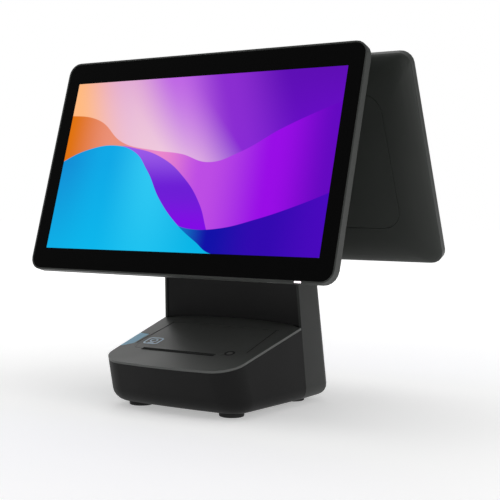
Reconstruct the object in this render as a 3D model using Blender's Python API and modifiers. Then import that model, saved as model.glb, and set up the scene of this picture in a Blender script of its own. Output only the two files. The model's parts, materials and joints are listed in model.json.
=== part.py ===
"""Dual-screen point-of-sale terminal with a receipt printer in its base.

Frame: X to the operator's right, Y away from the operator, Z up, in metres.
The origin lies on the counter, under the centre of the terminal's box.
Heights are counted from the counter. Places along Y are counted from the line where
the column meets the base's sloping deck, and the root empty moves them to the origin.
Printer pieces are placed in the deck's own frame: "ahead" is the distance along the
deck towards the operator, and "below" is the depth under the deck's surface.
"""

from math import atan2, cos, pi, radians, sin, sqrt, tan

import bmesh
import bpy
from mathutils import Matrix, Vector

MM = 0.001
GAP = 0.3 * MM  # between pieces that rest on each other
RUNNING_GAP = 0.3 * MM  # between a turning or sliding piece and what guides it

# Deck and base casing
DECK_HEIGHT = 84.4 * MM
DECK_ANGLE = radians(14.4)
DECK_THICKNESS = 2.5 * MM
HALF_WIDTH_AT_FLOOR = 93.8 * MM
SIDE_TAPER = 0.044
PLAN_TAPER = 0.068
FRONT_PAST_LID = 41.02 * MM  # from the lid's front edge to the casing's, at the counter
FRONT_RIM_HEIGHT = 51 * MM
FRONT_DRAFT = 0.3
FRONT_RADIUS = 28 * MM
FRONT_BULGE = 0.6  # metres of bulge for each square metre of half width
CASING_WALL = 2.5 * MM
FOOT_HEIGHT = 4.7 * MM
FOOT_RADIUS = 13 * MM
FOOT_SPREAD_FRONT = 58 * MM
FOOT_SPREAD_REAR = 62 * MM
FOOT_FRONT = 86 * MM
FOOT_REAR = 30 * MM
BOTTOM_RADIUS = 14 * MM
BOTTOM_COVER_THICKNESS = 2.5 * MM
CHASSIS_THICKNESS = 1.5 * MM
CASING_BOTTOM = FOOT_HEIGHT + GAP

# Column
COLUMN_TOP = 236 * MM
COLUMN_LEAN = 0.085
COLUMN_DEPTH = 64.2 * MM
COLUMN_REAR_TAPER = 0.124
COLUMN_CORNER = 15 * MM
SHELL_WALL = 3 * MM
PANEL_THICKNESS = 2.5 * MM
PANEL_RECESS = 1.5 * MM
PANEL_HOLLOW = 11.5 * MM
SPINE_HALF_WIDTH = 40 * MM
SPINE_SHEET = 2 * MM
SPINE_FLANGE = 12 * MM
SPINE_BELOW_TOP = 31 * MM
NECK_HALF_WIDTH = 22 * MM
NECK_DEPTH = 9 * MM
NECK_BELOW_TOP = 86 * MM
NECK_CLEARANCE = 0.8 * MM  # from the front panel's back

# Displays
SCREEN_HALF_WIDTH = 172.1 * MM
SCREEN_HALF_HEIGHT = 96.8 * MM
BORDER_SIDE = 18.4 * MM  # from the lit area to the display's outer edge
BORDER_TOP = 25.2 * MM
DISPLAY_CORNER = 14 * MM
RIM_WIDTH = 2 * MM
RIM_DEPTH = 9 * MM
RIM_WALL = 2.5 * MM
GLASS_THICKNESS = 1.1 * MM
LCD_THICKNESS = 3.2 * MM
LCD_BORDER = 4 * MM
MID_PLATE = 1.5 * MM
BACK_BULGE = 11.5 * MM
BACK_FILLET = 34 * MM
BACK_WALL = 2 * MM
BACK_STEPS = 5
SERVICE_MARGIN_SIDE = 37.5 * MM
SERVICE_MARGIN_TOP = 43 * MM
SERVICE_RISE = 4 * MM
SERVICE_RADIUS = 22 * MM
SERVICE_THICKNESS = 1.2 * MM
MAIN_TILT = radians(16.9)
MAIN_OUT = 83.1 * MM  # from the column line to the middle of the glass
MAIN_ABOVE_COLUMN = 23.3 * MM
CUSTOMER_TILT = radians(23.4)
CUSTOMER_OUT = 102 * MM
CUSTOMER_ABOVE_COLUMN = 29.3 * MM

# Tilt hinges, one behind each display
PIVOT_BEHIND = 34 * MM
PIVOT_DROP = 4 * MM
PIN_RADIUS = 3 * MM
BARREL_RADIUS = 7 * MM
KNUCKLE_HALF = 13.7 * MM
ARM_WIDTH = 10 * MM
WEB_THICKNESS = 8 * MM
HINGE_PLATE_HALF = 34 * MM
HINGE_PLATE_THICKNESS = 3 * MM

# Printer lid and the bay that it closes
LID_REAR = 14.2 * MM
LID_FRONT = 92.9 * MM
LID_HALF_REAR = 69.6 * MM
LID_HALF_FRONT = 65.6 * MM
LID_CORNER = 4 * MM
LID_SEAM = 0.4 * MM
LID_AXIS_AHEAD = 15.2 * MM
LID_AXIS_BELOW = 2 * MM
LID_EAR_WIDTH = 9 * MM
LID_EAR_LENGTH = 4 * MM
LID_EAR_DEPTH = 4.5 * MM
LID_PIN_RADIUS = 1.2 * MM
LID_PIN_REACH = 2.4 * MM
SLOT_LEFT = -53 * MM
SLOT_RIGHT = 40 * MM
SLOT_WIDTH = 1.6 * MM
BUTTON_X = 53.4 * MM
BUTTON_AHEAD = 85.6 * MM
BUTTON_RADIUS = 3.4 * MM
BUTTON_LENGTH = 6 * MM
TONGUE_RADIUS = 7.5 * MM

# Print mechanism
PLATEN_TO_LID_FRONT = 9.4 * MM
PLATEN_BELOW = 13 * MM
PLATEN_RADIUS = 6 * MM
PLATEN_HALF_LENGTH = 40.5 * MM
SHAFT_RADIUS = 2.5 * MM
LEFT_PLATE = -53.2 * MM
RIGHT_PLATE = 42.8 * MM
SIDE_PLATE_THICKNESS = 1.5 * MM
SHAFT_PROUD = 0.8 * MM
GEAR_CLEARANCE = 0.6 * MM
SIDE_PLATE_TOP = 9.5 * MM
SIDE_PLATE_PAST_GUIDE = 1.3 * MM
EAR_TOP = 3.1 * MM
GEAR_MODULE = 0.6 * MM
GEAR_WIDTH = 4 * MM
PLATEN_TEETH = 20
IDLER_TEETH = 30
PINION_TEETH = 12
IDLER_BACK = 7 * MM
PINION_BACK = 11 * MM
MOTOR_RADIUS = 13 * MM
MOTOR_LENGTH = 13 * MM
MOTOR_SHAFT_RADIUS = 1.5 * MM
AXLE_RADIUS = 2 * MM
HEAD_THICKNESS = 4.2 * MM
HEAD_AHEAD = 10 * MM  # from under the platen's axis to the head's front edge
HEAD_BEHIND = 6.5 * MM
BEAM_THICKNESS = 6 * MM
BEAM_WIDTH = 12 * MM
CARRIER_REAR = 63.5 * MM
CARRIER_TO_LID_FRONT = 2.9 * MM
CARRIER_SHEET = 1.8 * MM
CARRIER_ARM = 42.1 * MM
CARRIER_ARM_WIDTH = 2 * MM
ARM_RIM = 2.5 * MM  # left around the platen's bore
ARM_REACH = 6 * MM
BLADE_THICKNESS = 0.8 * MM
BLADE_HALF_WIDTH = 41.5 * MM
BLADE_LENGTH = 12.5 * MM
GUIDE_WALL = 3 * MM
BUCKET_RADIUS = 27.5 * MM
BUCKET_CENTRE = 40 * MM
BUCKET_HALF_WIDTH = 43 * MM
BUCKET_WALL = 1.5 * MM
BUCKET_CORNER = 3 * MM
BUCKET_REAR_TOP = 72 * MM
BUCKET_FRONT_TOP = 43 * MM

# Release lever on the left rim
TAB_REAR = 51 * MM
TAB_SLANT = 3 * MM
TAB_FRONT_INNER = 82 * MM
TAB_FRONT_OUTER = 91.5 * MM
TAB_INNER = 73.8 * MM
TAB_SKIRT = 11 * MM
TAB_ROOM = 14 * MM
TAB_CLEARANCE = 0.5 * MM
LEVER_AHEAD = 59 * MM
LEVER_BELOW = 7 * MM
CATCH_AHEAD = 66 * MM
CATCH_BELOW = 24 * MM
CATCH_RADIUS = 1.5 * MM
CATCH_ARM = -63 * MM
HOOK_LEFT = -58 * MM
HOOK_WIDTH = 2.5 * MM
HOOK_HUB = 4.5 * MM

# Sockets on the back
SOCKET_DEPTH = 13 * MM
SOCKET_WALL = 1.4 * MM
PORT_WINDOW_HALF = 48 * MM
PORT_WINDOW_TOP = 30 * MM
BOARD_THICKNESS = 1.6 * MM

# Board beside the print mechanism
BOARD_WIDTH = 23 * MM
BOARD_LENGTH = 62 * MM
BOARD_REAR = -10 * MM
BOARD_TO_PLATE = 2.8 * MM

# Small pieces on the displays
DISPLAY_BOARDS = {  # name, half width and half height
    "main": ("main_mainboard", 85 * MM, 55 * MM),
    "customer": ("customer_driver_board", 45 * MM, 20 * MM),
}
LIGHT_X = 152.5 * MM
LIGHT_WIDTH = 7 * MM
STRIP_HALF_WIDTH = 60 * MM
POWER_X = 120 * MM
POWER_WIDTH = 11.4 * MM
POWER_THICKNESS = 1.6 * MM

# Values that follow from those above
DECK_SLOPE = tan(DECK_ANGLE)
DISPLAY_HALF_WIDTH = SCREEN_HALF_WIDTH + BORDER_SIDE
DISPLAY_HALF_HEIGHT = SCREEN_HALF_HEIGHT + BORDER_TOP
SERVICE_HALF_WIDTH = DISPLAY_HALF_WIDTH - SERVICE_MARGIN_SIDE
SERVICE_HALF_HEIGHT = DISPLAY_HALF_HEIGHT - SERVICE_MARGIN_TOP
MAIN_CENTRE = Vector((0, -MAIN_OUT, COLUMN_TOP + MAIN_ABOVE_COLUMN))
CUSTOMER_CENTRE = Vector((0, CUSTOMER_OUT, COLUMN_TOP + CUSTOMER_ABOVE_COLUMN))
FRONT_REACH = LID_FRONT * cos(DECK_ANGLE) + FRONT_PAST_LID
PLATEN_AHEAD = LID_FRONT - PLATEN_TO_LID_FRONT
CARRIER_FRONT = LID_FRONT - CARRIER_TO_LID_FRONT
CUTTER_EDGE = LID_FRONT + LID_SEAM + SLOT_WIDTH + GAP  # ahead of it the moving blade lies
GUIDE_FRONT = CUTTER_EDGE + BLADE_LENGTH + GUIDE_WALL
SIDE_PLATE_FRONT = GUIDE_FRONT + SIDE_PLATE_PAST_GUIDE
SPINE_TOP = COLUMN_TOP - SPINE_BELOW_TOP
NECK_BOTTOM = COLUMN_TOP - NECK_BELOW_TOP
PANEL_BACK = PANEL_RECESS + PANEL_HOLLOW + PANEL_THICKNESS
PANEL_LEAN = COLUMN_LEAN * (NECK_BOTTOM - DECK_HEIGHT)
SPINE_FRONT = PANEL_BACK - PANEL_LEAN + NECK_CLEARANCE + NECK_DEPTH + GAP
PAPER_X = (SLOT_LEFT + SLOT_RIGHT) / 2  # middle of the paper's path
BOTTOM_COVER_TOP = CASING_BOTTOM + BOTTOM_COVER_THICKNESS
CHASSIS_BOTTOM = BOTTOM_COVER_TOP + GAP
CHASSIS_TOP = CHASSIS_BOTTOM + CHASSIS_THICKNESS
FLOOR = CHASSIS_TOP + GAP  # where the inner pieces stand
DISPLAY_BACK = RIM_DEPTH + GAP + BACK_BULGE  # from the glass to the back's flat middle
CARRIER_TOP = DECK_THICKNESS + GAP
BLADE_BELOW = CARRIER_TOP + CARRIER_SHEET + GAP

ALONG_X = Matrix(((0, 0, 1, 0), (1, 0, 0, 0), (0, 1, 0, 0), (0, 0, 0, 1)))


# ---------------------------------------------------------------- scene and materials


def clear_scene():
    """Remove every object of the open scene."""
    for obj in list(bpy.data.objects):
        bpy.data.objects.remove(obj, do_unlink=True)


def new_collection(name, hidden=False):
    """A collection in the scene; a hidden one holds cutters."""
    made = bpy.data.collections.new(name)
    made.hide_render = hidden
    bpy.context.scene.collection.children.link(made)
    return made


def linear(channel):
    """One sRGB channel of 0 to 255 as a linear value."""
    value = channel / 255
    return value / 12.92 if value <= 0.04045 else ((value + 0.055) / 1.055) ** 2.4


def new_material(name, red, green, blue, roughness, metallic=0.0):
    """A Principled material from an sRGB colour."""
    made = bpy.data.materials.new(name)
    made.use_nodes = True
    shader = made.node_tree.nodes["Principled BSDF"]
    colour = (linear(red), linear(green), linear(blue), 1)
    shader.inputs["Base Color"].default_value = colour
    shader.inputs["Roughness"].default_value = roughness
    shader.inputs["Metallic"].default_value = metallic
    return made


def empty(name, parent, location, rotation=(0, 0, 0)):
    """An empty that carries pieces; a joint's empty lies on its axis."""
    made = bpy.data.objects.new(name, None)
    made.empty_display_size = 10 * MM
    PARTS.objects.link(made)
    made.parent = parent
    made.location = location
    made.rotation_euler = rotation
    return made


def move_to(obj, collection):
    """Put an object in one collection only."""
    for old in list(obj.users_collection):
        old.objects.unlink(obj)
    collection.objects.link(obj)


def finish(obj, name, material, frame, axis=None):
    """Name, paint and parent a piece that is drawn in a frame's coordinates.

    A piece on a joint is parented to the joint's empty, which stands in the frame."""
    obj.name = name
    obj.data.name = name
    obj.data.materials.clear()
    obj.data.materials.append(material)
    move_to(obj, PARTS)
    obj.parent = axis or frame
    if axis:
        obj.location = -axis.location
    obj.data.shade_smooth()
    obj.data.set_sharp_from_angle(angle=radians(35))
    return obj


# ------------------------------------------------------------------------- outlines


def arc(centre, radius, start, end, steps):
    """Points on an arc, from one angle in degrees to another."""
    points = []
    for step in range(steps + 1):
        angle = radians(start + (end - start) * step / steps)
        points.append((centre[0] + radius * cos(angle), centre[1] + radius * sin(angle)))
    return points


def rounded_rectangle(half_width, half_height, radius, rise=0.0, steps=5):
    """A rectangle with round corners, counter-clockwise from its right side."""
    x = half_width - radius
    y = half_height - radius
    corners = ((x, -y, -90), (x, y, 0), (-x, y, 90), (-x, -y, 180))
    points = []
    for centre_x, centre_y, start in corners:
        points += arc((centre_x, centre_y + rise), radius, start, start + 90, steps)
    return points


def circle(centre, radius, steps=24):
    """A closed circle."""
    return arc(centre, radius, 0, 360, steps)[:-1]


def gear_outline(centre, teeth, phase):
    """A gear's outline with straight flanks and backlash; phase is one tooth's angle."""
    pitch = 2 * pi / teeth
    pitch_radius = teeth * GEAR_MODULE / 2
    root = pitch_radius - 1.25 * GEAR_MODULE
    tip = pitch_radius + 0.85 * GEAR_MODULE
    points = []
    for tooth in range(teeth):
        middle = phase + tooth * pitch
        flank = ((root, -0.29), (tip, -0.12), (tip, 0.12), (root, 0.29))
        for radius, share in flank:
            angle = middle + share * pitch
            points.append(
                (centre[0] + radius * cos(angle), centre[1] + radius * sin(angle))
            )
    return points


# --------------------------------------------------------------------------- shapes


def mesh_object(mesh_builder):
    """An object in the scene from a bmesh, with its normals facing out."""
    bmesh.ops.recalc_face_normals(mesh_builder, faces=mesh_builder.faces)
    mesh = bpy.data.meshes.new("shape")
    mesh_builder.to_mesh(mesh)
    mesh_builder.free()
    obj = bpy.data.objects.new("shape", mesh)
    PARTS.objects.link(obj)
    return obj


def box(low, high, bevel=0.0):
    """A box between two corners, with its edges rounded if a bevel is given."""
    low = Vector(low)
    high = Vector(high)
    bpy.ops.mesh.primitive_cube_add(size=1)
    obj = bpy.context.object
    size = high - low
    obj.data.transform(Matrix.Diagonal((*size, 1)))
    obj.data.transform(Matrix.Translation((low + high) / 2))
    if bevel:
        rounding = obj.modifiers.new("Rounded edges", "BEVEL")
        rounding.width = bevel
        rounding.segments = 2
    return obj


def rod(start, end, radius, vertices=24):
    """A cylinder from one point to another."""
    start = Vector(start)
    end = Vector(end)
    length = (end - start).length
    bpy.ops.mesh.primitive_cylinder_add(vertices=vertices, radius=radius, depth=length)
    obj = bpy.context.object
    turn = (end - start).to_track_quat("Z", "Y").to_matrix().to_4x4()
    obj.data.transform(Matrix.Translation((start + end) / 2) @ turn)
    return obj


def plate(outlines, low, high, turn=None):
    """A flat piece between two heights; outlines after the first are holes."""
    curve = bpy.data.curves.new("outline", "CURVE")
    curve.dimensions = "2D"
    curve.fill_mode = "BOTH"
    curve.extrude = (high - low) / 2
    for outline in outlines:
        spline = curve.splines.new("POLY")
        spline.points.add(len(outline) - 1)
        for point, (x, y) in zip(spline.points, outline):
            point.co = (x, y, 0, 1)
        spline.use_cyclic_u = True
    drawn = bpy.data.objects.new("outline", curve)
    PARTS.objects.link(drawn)
    bpy.context.view_layer.update()
    graph = bpy.context.evaluated_depsgraph_get()
    mesh = bpy.data.meshes.new_from_object(drawn.evaluated_get(graph))
    bpy.data.objects.remove(drawn)
    builder = bmesh.new()
    builder.from_mesh(mesh)
    bpy.data.meshes.remove(mesh)
    bmesh.ops.remove_doubles(builder, verts=builder.verts, dist=0.001 * MM)
    bmesh.ops.translate(builder, verts=builder.verts, vec=(0, 0, (low + high) / 2))
    if turn:
        bmesh.ops.transform(builder, verts=builder.verts, matrix=turn)
    return mesh_object(builder)


def loft(rings):
    """A closed solid through rings of points, capped at the first and the last ring."""
    builder = bmesh.new()
    rows = [[builder.verts.new(point) for point in ring] for ring in rings]
    for lower, upper in zip(rows, rows[1:]):
        for index in range(len(lower)):
            after = (index + 1) % len(lower)
            corners = (lower[index], lower[after], upper[after], upper[index])
            builder.faces.new(corners)
    caps = [builder.faces.new(rows[0]), builder.faces.new(rows[-1])]
    bmesh.ops.triangulate(builder, faces=caps)
    return mesh_object(builder)


def boolean(obj, other, operation):
    """Join, cut or intersect with another object, which becomes a hidden helper."""
    move_to(other, CUTTERS)
    other.name = "helper"
    other.hide_render = True
    other.display_type = "WIRE"
    modifier = obj.modifiers.new(operation.title(), "BOOLEAN")
    modifier.object = other
    modifier.operation = operation
    return obj


def with_parent(helper, frame, axis=None):
    """Give a helper the parent and place of the piece that it shapes."""
    helper.parent = axis or frame
    if axis:
        helper.location = -axis.location
    return helper


def build(name, material, frame, base, joins=(), cuts=(), axis=None):
    """A piece from a base shape, the shapes that join it and those that cut it."""
    for other in joins:
        boolean(base, with_parent(other, frame, axis), "UNION")
    for other in cuts:
        boolean(base, with_parent(other, frame, axis), "DIFFERENCE")
    return finish(base, name, material, frame, axis)


# ------------------------------------------------------------- the casing's own curves


def deck_height(y):
    """Height of the deck's surface."""
    return DECK_HEIGHT + DECK_SLOPE * y


def column_front(z):
    """Y of the side bands' front edge."""
    return -COLUMN_LEAN * (z - DECK_HEIGHT)


def column_rear(z):
    """Y of the column's back."""
    return COLUMN_DEPTH - COLUMN_REAR_TAPER * z


def half_width(y, z):
    """Half the width of the casing."""
    return HALF_WIDTH_AT_FLOOR - SIDE_TAPER * z + PLAN_TAPER * min(y, 0)


def bottom_inset(z):
    """How far the rounded bottom edge draws the casing in."""
    down = CASING_BOTTOM + BOTTOM_RADIUS - z
    return BOTTOM_RADIUS - sqrt(BOTTOM_RADIUS**2 - down**2) if down > 0 else 0


def front_path(z, inset):
    """The base's wall in plan, from its right end round the front to its left end."""
    end = column_front(z) - GAP
    front = -FRONT_REACH + FRONT_DRAFT * (FRONT_RIM_HEIGHT - z) + inset
    radius = max(FRONT_RADIUS - inset, FRONT_RADIUS / 3)
    corner_y = front + radius
    corner_x = half_width(corner_y, z) - inset - radius
    side = [(half_width(end, z) - inset, end)]
    side += arc((corner_x, corner_y), radius, 0, -90, 6)
    side.append((corner_x / 2, front))
    path = side + [(0, front)] + [(-x, y) for x, y in reversed(side)]
    return [(x, y + FRONT_BULGE * x * x * min(1, max(0, y / front))) for x, y in path]


def shell_path(z, inset):
    """The column's wall in plan, from its right tip round the back to its left tip."""
    rear = column_rear(z) - inset
    radius = max(COLUMN_CORNER - inset, COLUMN_CORNER / 3)
    width = half_width(0, z) - inset
    side = [(width, column_front(z))]
    side += arc((width - radius, rear - radius), radius, 0, 90, 4)
    return side + [(-x, y) for x, y in reversed(side)]


def panel_path(z, back=0.0):
    """The concave front panel in plan, from right to left."""
    width = half_width(0, z) - SHELL_WALL - GAP
    points = []
    for step in range(13):
        x = width * (1 - step / 6)
        hollow = PANEL_HOLLOW * (1 - (x / width) ** 2)
        points.append((x, column_front(z) + PANEL_RECESS + hollow + back))
    return points


def on_deck(path, below):
    """The points where a path that changes with height meets a plane below the deck."""
    drop = below / cos(DECK_ANGLE)
    points = []
    for index in range(len(path(DECK_HEIGHT))):
        z = DECK_HEIGHT
        for _ in range(8):
            x, y = path(z)[index]
            z = deck_height(y) - drop
        points.append(Vector((x, y, z)))
    return points


def level(path, z):
    """A path's points at one height."""
    return [Vector((x, y, z)) for x, y in path(z)]


def wall_ring(outer, inner):
    """One closed ring through a wall's outer and inner face."""
    return list(outer) + list(reversed(inner))


def rounded_levels():
    """Heights that follow the rounded bottom edge."""
    steps = 5
    return [
        CASING_BOTTOM + BOTTOM_RADIUS * (1 - cos(pi / 2 * step / steps))
        for step in range(steps + 1)
    ]


def footprint(z, inset):
    """The whole casing in plan."""
    return front_path(z, inset) + list(reversed(shell_path(z, inset)))


def deck_plan(points):
    """Points on the deck as the deck frame's X and Y."""
    return [(point.x, point.y / cos(DECK_ANGLE)) for point in points]


def floor_below(ahead):
    """Depth under the deck, at right angles to it, of the floor for inner pieces."""
    return (DECK_HEIGHT - FLOOR - ahead * sin(DECK_ANGLE)) / cos(DECK_ANGLE)


# -------------------------------------------------------------------- base and column


def build_base(paint, root, deck):
    """Casing, floor, feet and deck."""

    def outer(z):
        return front_path(z, bottom_inset(z))

    def inner(z):
        return front_path(z, bottom_inset(z) + CASING_WALL)

    rings = [wall_ring(level(outer, z), level(inner, z)) for z in rounded_levels()]
    under = DECK_THICKNESS + GAP
    rings.append(wall_ring(on_deck(outer, under), on_deck(inner, under)))
    room = with_parent(tab_prism(TAB_CLEARANCE, -5 * MM, TAB_ROOM), deck)
    housing = finish(loft(rings), "base_housing", paint["casing"], root)
    boolean(housing, room, "DIFFERENCE")

    rear_edge = deck_plan(on_deck(panel_path, -GAP))
    rear_edge = [(x, y + PANEL_THICKNESS) for x, y in rear_edge]
    band = rear_edge[1][0]
    outline = deck_plan(on_deck(outer, 0)) + list(reversed(rear_edge))
    band_side = -GAP - DECK_THICKNESS * sin(DECK_ANGLE)
    outline = [(x, band_side if y > -2 * GAP and abs(x) > band else y) for x, y in outline]
    bay = lid_outline(LID_SEAM, LID_REAR - 1.5 * MM, True)
    lugs = []
    holes = [tab_prism(TAB_CLEARANCE, -5 * MM, TAB_ROOM)]
    for side in (-1, 1):
        near = side * (LID_HALF_REAR + LID_SEAM)
        far = side * (LID_HALF_REAR + LID_SEAM + 4 * MM)
        low = (min(near, far), -20 * MM, -6 * MM)
        high = (max(near, far), -11 * MM, -DECK_THICKNESS / 2)
        lugs.append(box(low, high))
        reach = side * (LID_HALF_REAR + LID_PIN_REACH + GAP)
        holes.append(
            rod(
                (side * LID_HALF_FRONT, -LID_AXIS_AHEAD, -LID_AXIS_BELOW),
                (reach, -LID_AXIS_AHEAD, -LID_AXIS_BELOW),
                LID_PIN_RADIUS + RUNNING_GAP,
            )
        )
    button_hole = circle((BUTTON_X, -BUTTON_AHEAD), BUTTON_RADIUS + RUNNING_GAP)
    cover = plate([outline, bay, button_hole], -DECK_THICKNESS, 0)
    build("base_top_cover", paint["deck"], deck, cover, lugs, holes)

    def cover_outline(z, inset):
        return footprint(z, bottom_inset(z) + inset)

    edge = SHELL_WALL + GAP
    flat = cover_outline(CASING_BOTTOM, edge)
    floor = plate([flat], CASING_BOTTOM, BOTTOM_COVER_TOP)
    finish(floor, "bottom_cover", paint["casing"], root)
    chassis = plate([cover_outline(CHASSIS_BOTTOM, edge)], CHASSIS_BOTTOM, CHASSIS_TOP)
    finish(chassis, "chassis_plate", paint["steel"], root)

    places = {
        "front": (FOOT_SPREAD_FRONT, -FOOT_FRONT),
        "rear": (FOOT_SPREAD_REAR, FOOT_REAR),
    }
    for end, (spread, y) in places.items():
        for side, x in (("left", -spread), ("right", spread)):
            foot = rod((x, y, 0), (x, y, FOOT_HEIGHT), FOOT_RADIUS, 32)
            finish(foot, f"foot_{end}_{side}", paint["rubber"], root)


def build_column(paint, root):
    """Shell, front panel, cap, steel spine and the head that carries both hinges."""

    def outer(z):
        return shell_path(z, bottom_inset(z))

    def inner(z):
        return shell_path(z, bottom_inset(z) + SHELL_WALL)

    heights = rounded_levels() + [COLUMN_TOP]
    rings = [wall_ring(level(outer, z), level(inner, z)) for z in heights]
    window = box(
        (-PORT_WINDOW_HALF, SPINE_FRONT, FLOOR + BOARD_THICKNESS),
        (PORT_WINDOW_HALF, COLUMN_DEPTH * 1.2, PORT_WINDOW_TOP),
    )
    build("column_shell", paint["satin"], root, loft(rings), cuts=[window])

    def panel_back(z):
        return panel_path(z, PANEL_THICKNESS)

    bottom = wall_ring(on_deck(panel_path, -GAP), on_deck(panel_back, -GAP))
    top = wall_ring(level(panel_path, COLUMN_TOP), level(panel_back, COLUMN_TOP))
    finish(loft([bottom, top]), "column_front_panel", paint["panel"], root)

    neck_rear = SPINE_FRONT - GAP
    neck_front = neck_rear - NECK_DEPTH
    cap_outline = panel_path(COLUMN_TOP) + list(reversed(outer(COLUMN_TOP)))
    hole = [
        (x, y)
        for x, y in (
            (-NECK_HALF_WIDTH - GAP, neck_front - GAP),
            (NECK_HALF_WIDTH + GAP, neck_front - GAP),
            (NECK_HALF_WIDTH + GAP, neck_rear + GAP),
            (-NECK_HALF_WIDTH - GAP, neck_rear + GAP),
        )
    ]
    cap_bottom = COLUMN_TOP + GAP
    cap = plate([cap_outline, hole], cap_bottom, cap_bottom + PANEL_THICKNESS)
    finish(cap, "column_cap", paint["casing"], root)

    half = SPINE_HALF_WIDTH
    back = SPINE_FRONT + SPINE_FLANGE
    sheet_back = SPINE_FRONT + SPINE_SHEET
    channel = [(-half, back), (-half, SPINE_FRONT), (half, SPINE_FRONT), (half, back)]
    channel += [(half - SPINE_SHEET, back), (half - SPINE_SHEET, sheet_back)]
    channel += [(SPINE_SHEET - half, sheet_back), (SPINE_SHEET - half, back)]
    finish(plate([channel], FLOOR, SPINE_TOP), "column_spine", paint["steel"], root)

    inner_x = KNUCKLE_HALF + RUNNING_GAP
    outer_x = inner_x + ARM_WIDTH
    main = (MAIN_PIVOT.y, MAIN_PIVOT.z)
    customer = (CUSTOMER_PIVOT.y, CUSTOMER_PIVOT.z)
    arm_outline = arc(main, BARREL_RADIUS, 90, 270, 10)
    arm_outline += arc(customer, BARREL_RADIUS, -90, 90, 10)
    pin_holes = [circle(place, PIN_RADIUS + GAP) for place in (main, customer)]
    arms = [
        plate([arm_outline, *pin_holes], low_x, low_x + ARM_WIDTH, ALONG_X)
        for low_x in (inner_x, -outer_x)
    ]
    web_middle = (MAIN_PIVOT.z + CUSTOMER_PIVOT.z) / 2
    room = BARREL_RADIUS + 4 * MM
    web = box(
        (-inner_x - MM, MAIN_PIVOT.y + room, web_middle - WEB_THICKNESS / 2),
        (inner_x + MM, CUSTOMER_PIVOT.y - room, web_middle + WEB_THICKNESS / 2),
    )
    neck = box(
        (-NECK_HALF_WIDTH, neck_front, NECK_BOTTOM),
        (NECK_HALF_WIDTH, neck_rear, web_middle),
    )
    build("hinge_head", paint["cast"], root, neck, [*arms, web])
    for name, pivot in (("main", MAIN_PIVOT), ("customer", CUSTOMER_PIVOT)):
        pin = rod(
            (-outer_x - MM, pivot.y, pivot.z), (outer_x + MM, pivot.y, pivot.z), PIN_RADIUS
        )
        finish(pin, f"{name}_hinge_pin", paint["steel"], root)


def build_sockets(paint, root):
    """The board at the column's foot with its row of sockets facing back."""
    board_top = FLOOR + BOARD_THICKNESS
    rear = column_rear(FLOOR) - bottom_inset(FLOOR) - SHELL_WALL - GAP
    front = rear - SOCKET_DEPTH
    board = box(
        (-PORT_WINDOW_HALF, SPINE_FRONT + SPINE_FLANGE + GAP, FLOOR),
        (PORT_WINDOW_HALF, rear, board_top),
    )
    finish(board, "port_board", paint["board"], root)
    bottom = board_top + GAP
    sockets = (
        ("lan_socket", -32 * MM, 16 * MM, 14 * MM, 1),
        ("drawer_socket", -10 * MM, 14 * MM, 13 * MM, 1),
        ("usb_socket", 12 * MM, 15 * MM, 16 * MM, 2),
        ("dc_socket", 33 * MM, 12 * MM, 12 * MM, 1),
    )
    for name, x, width, height, rows in sockets:
        block = box(
            (x - width / 2, front, bottom), (x + width / 2, rear, bottom + height)
        )
        cuts = []
        mouth = (height - SOCKET_WALL * (rows + 1)) / rows
        for row in range(rows):
            low = bottom + SOCKET_WALL + row * (mouth + SOCKET_WALL)
            cuts.append(
                box(
                    (x - width / 2 + SOCKET_WALL, front + 2 * SOCKET_WALL, low),
                    (x + width / 2 - SOCKET_WALL, rear + 5 * MM, low + mouth),
                )
            )
        build(name, paint["socket"], root, block, cuts=cuts)


# ---------------------------------------------------------------------------- displays


def display_ring(half_width_in, half_height_in, radius, depth, rise=0.0):
    """A rounded rectangle at a depth behind the glass, in the display's frame."""
    outline = rounded_rectangle(half_width_in, half_height_in, radius, rise)
    return [Vector((x, y, -depth)) for x, y in outline]


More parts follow.
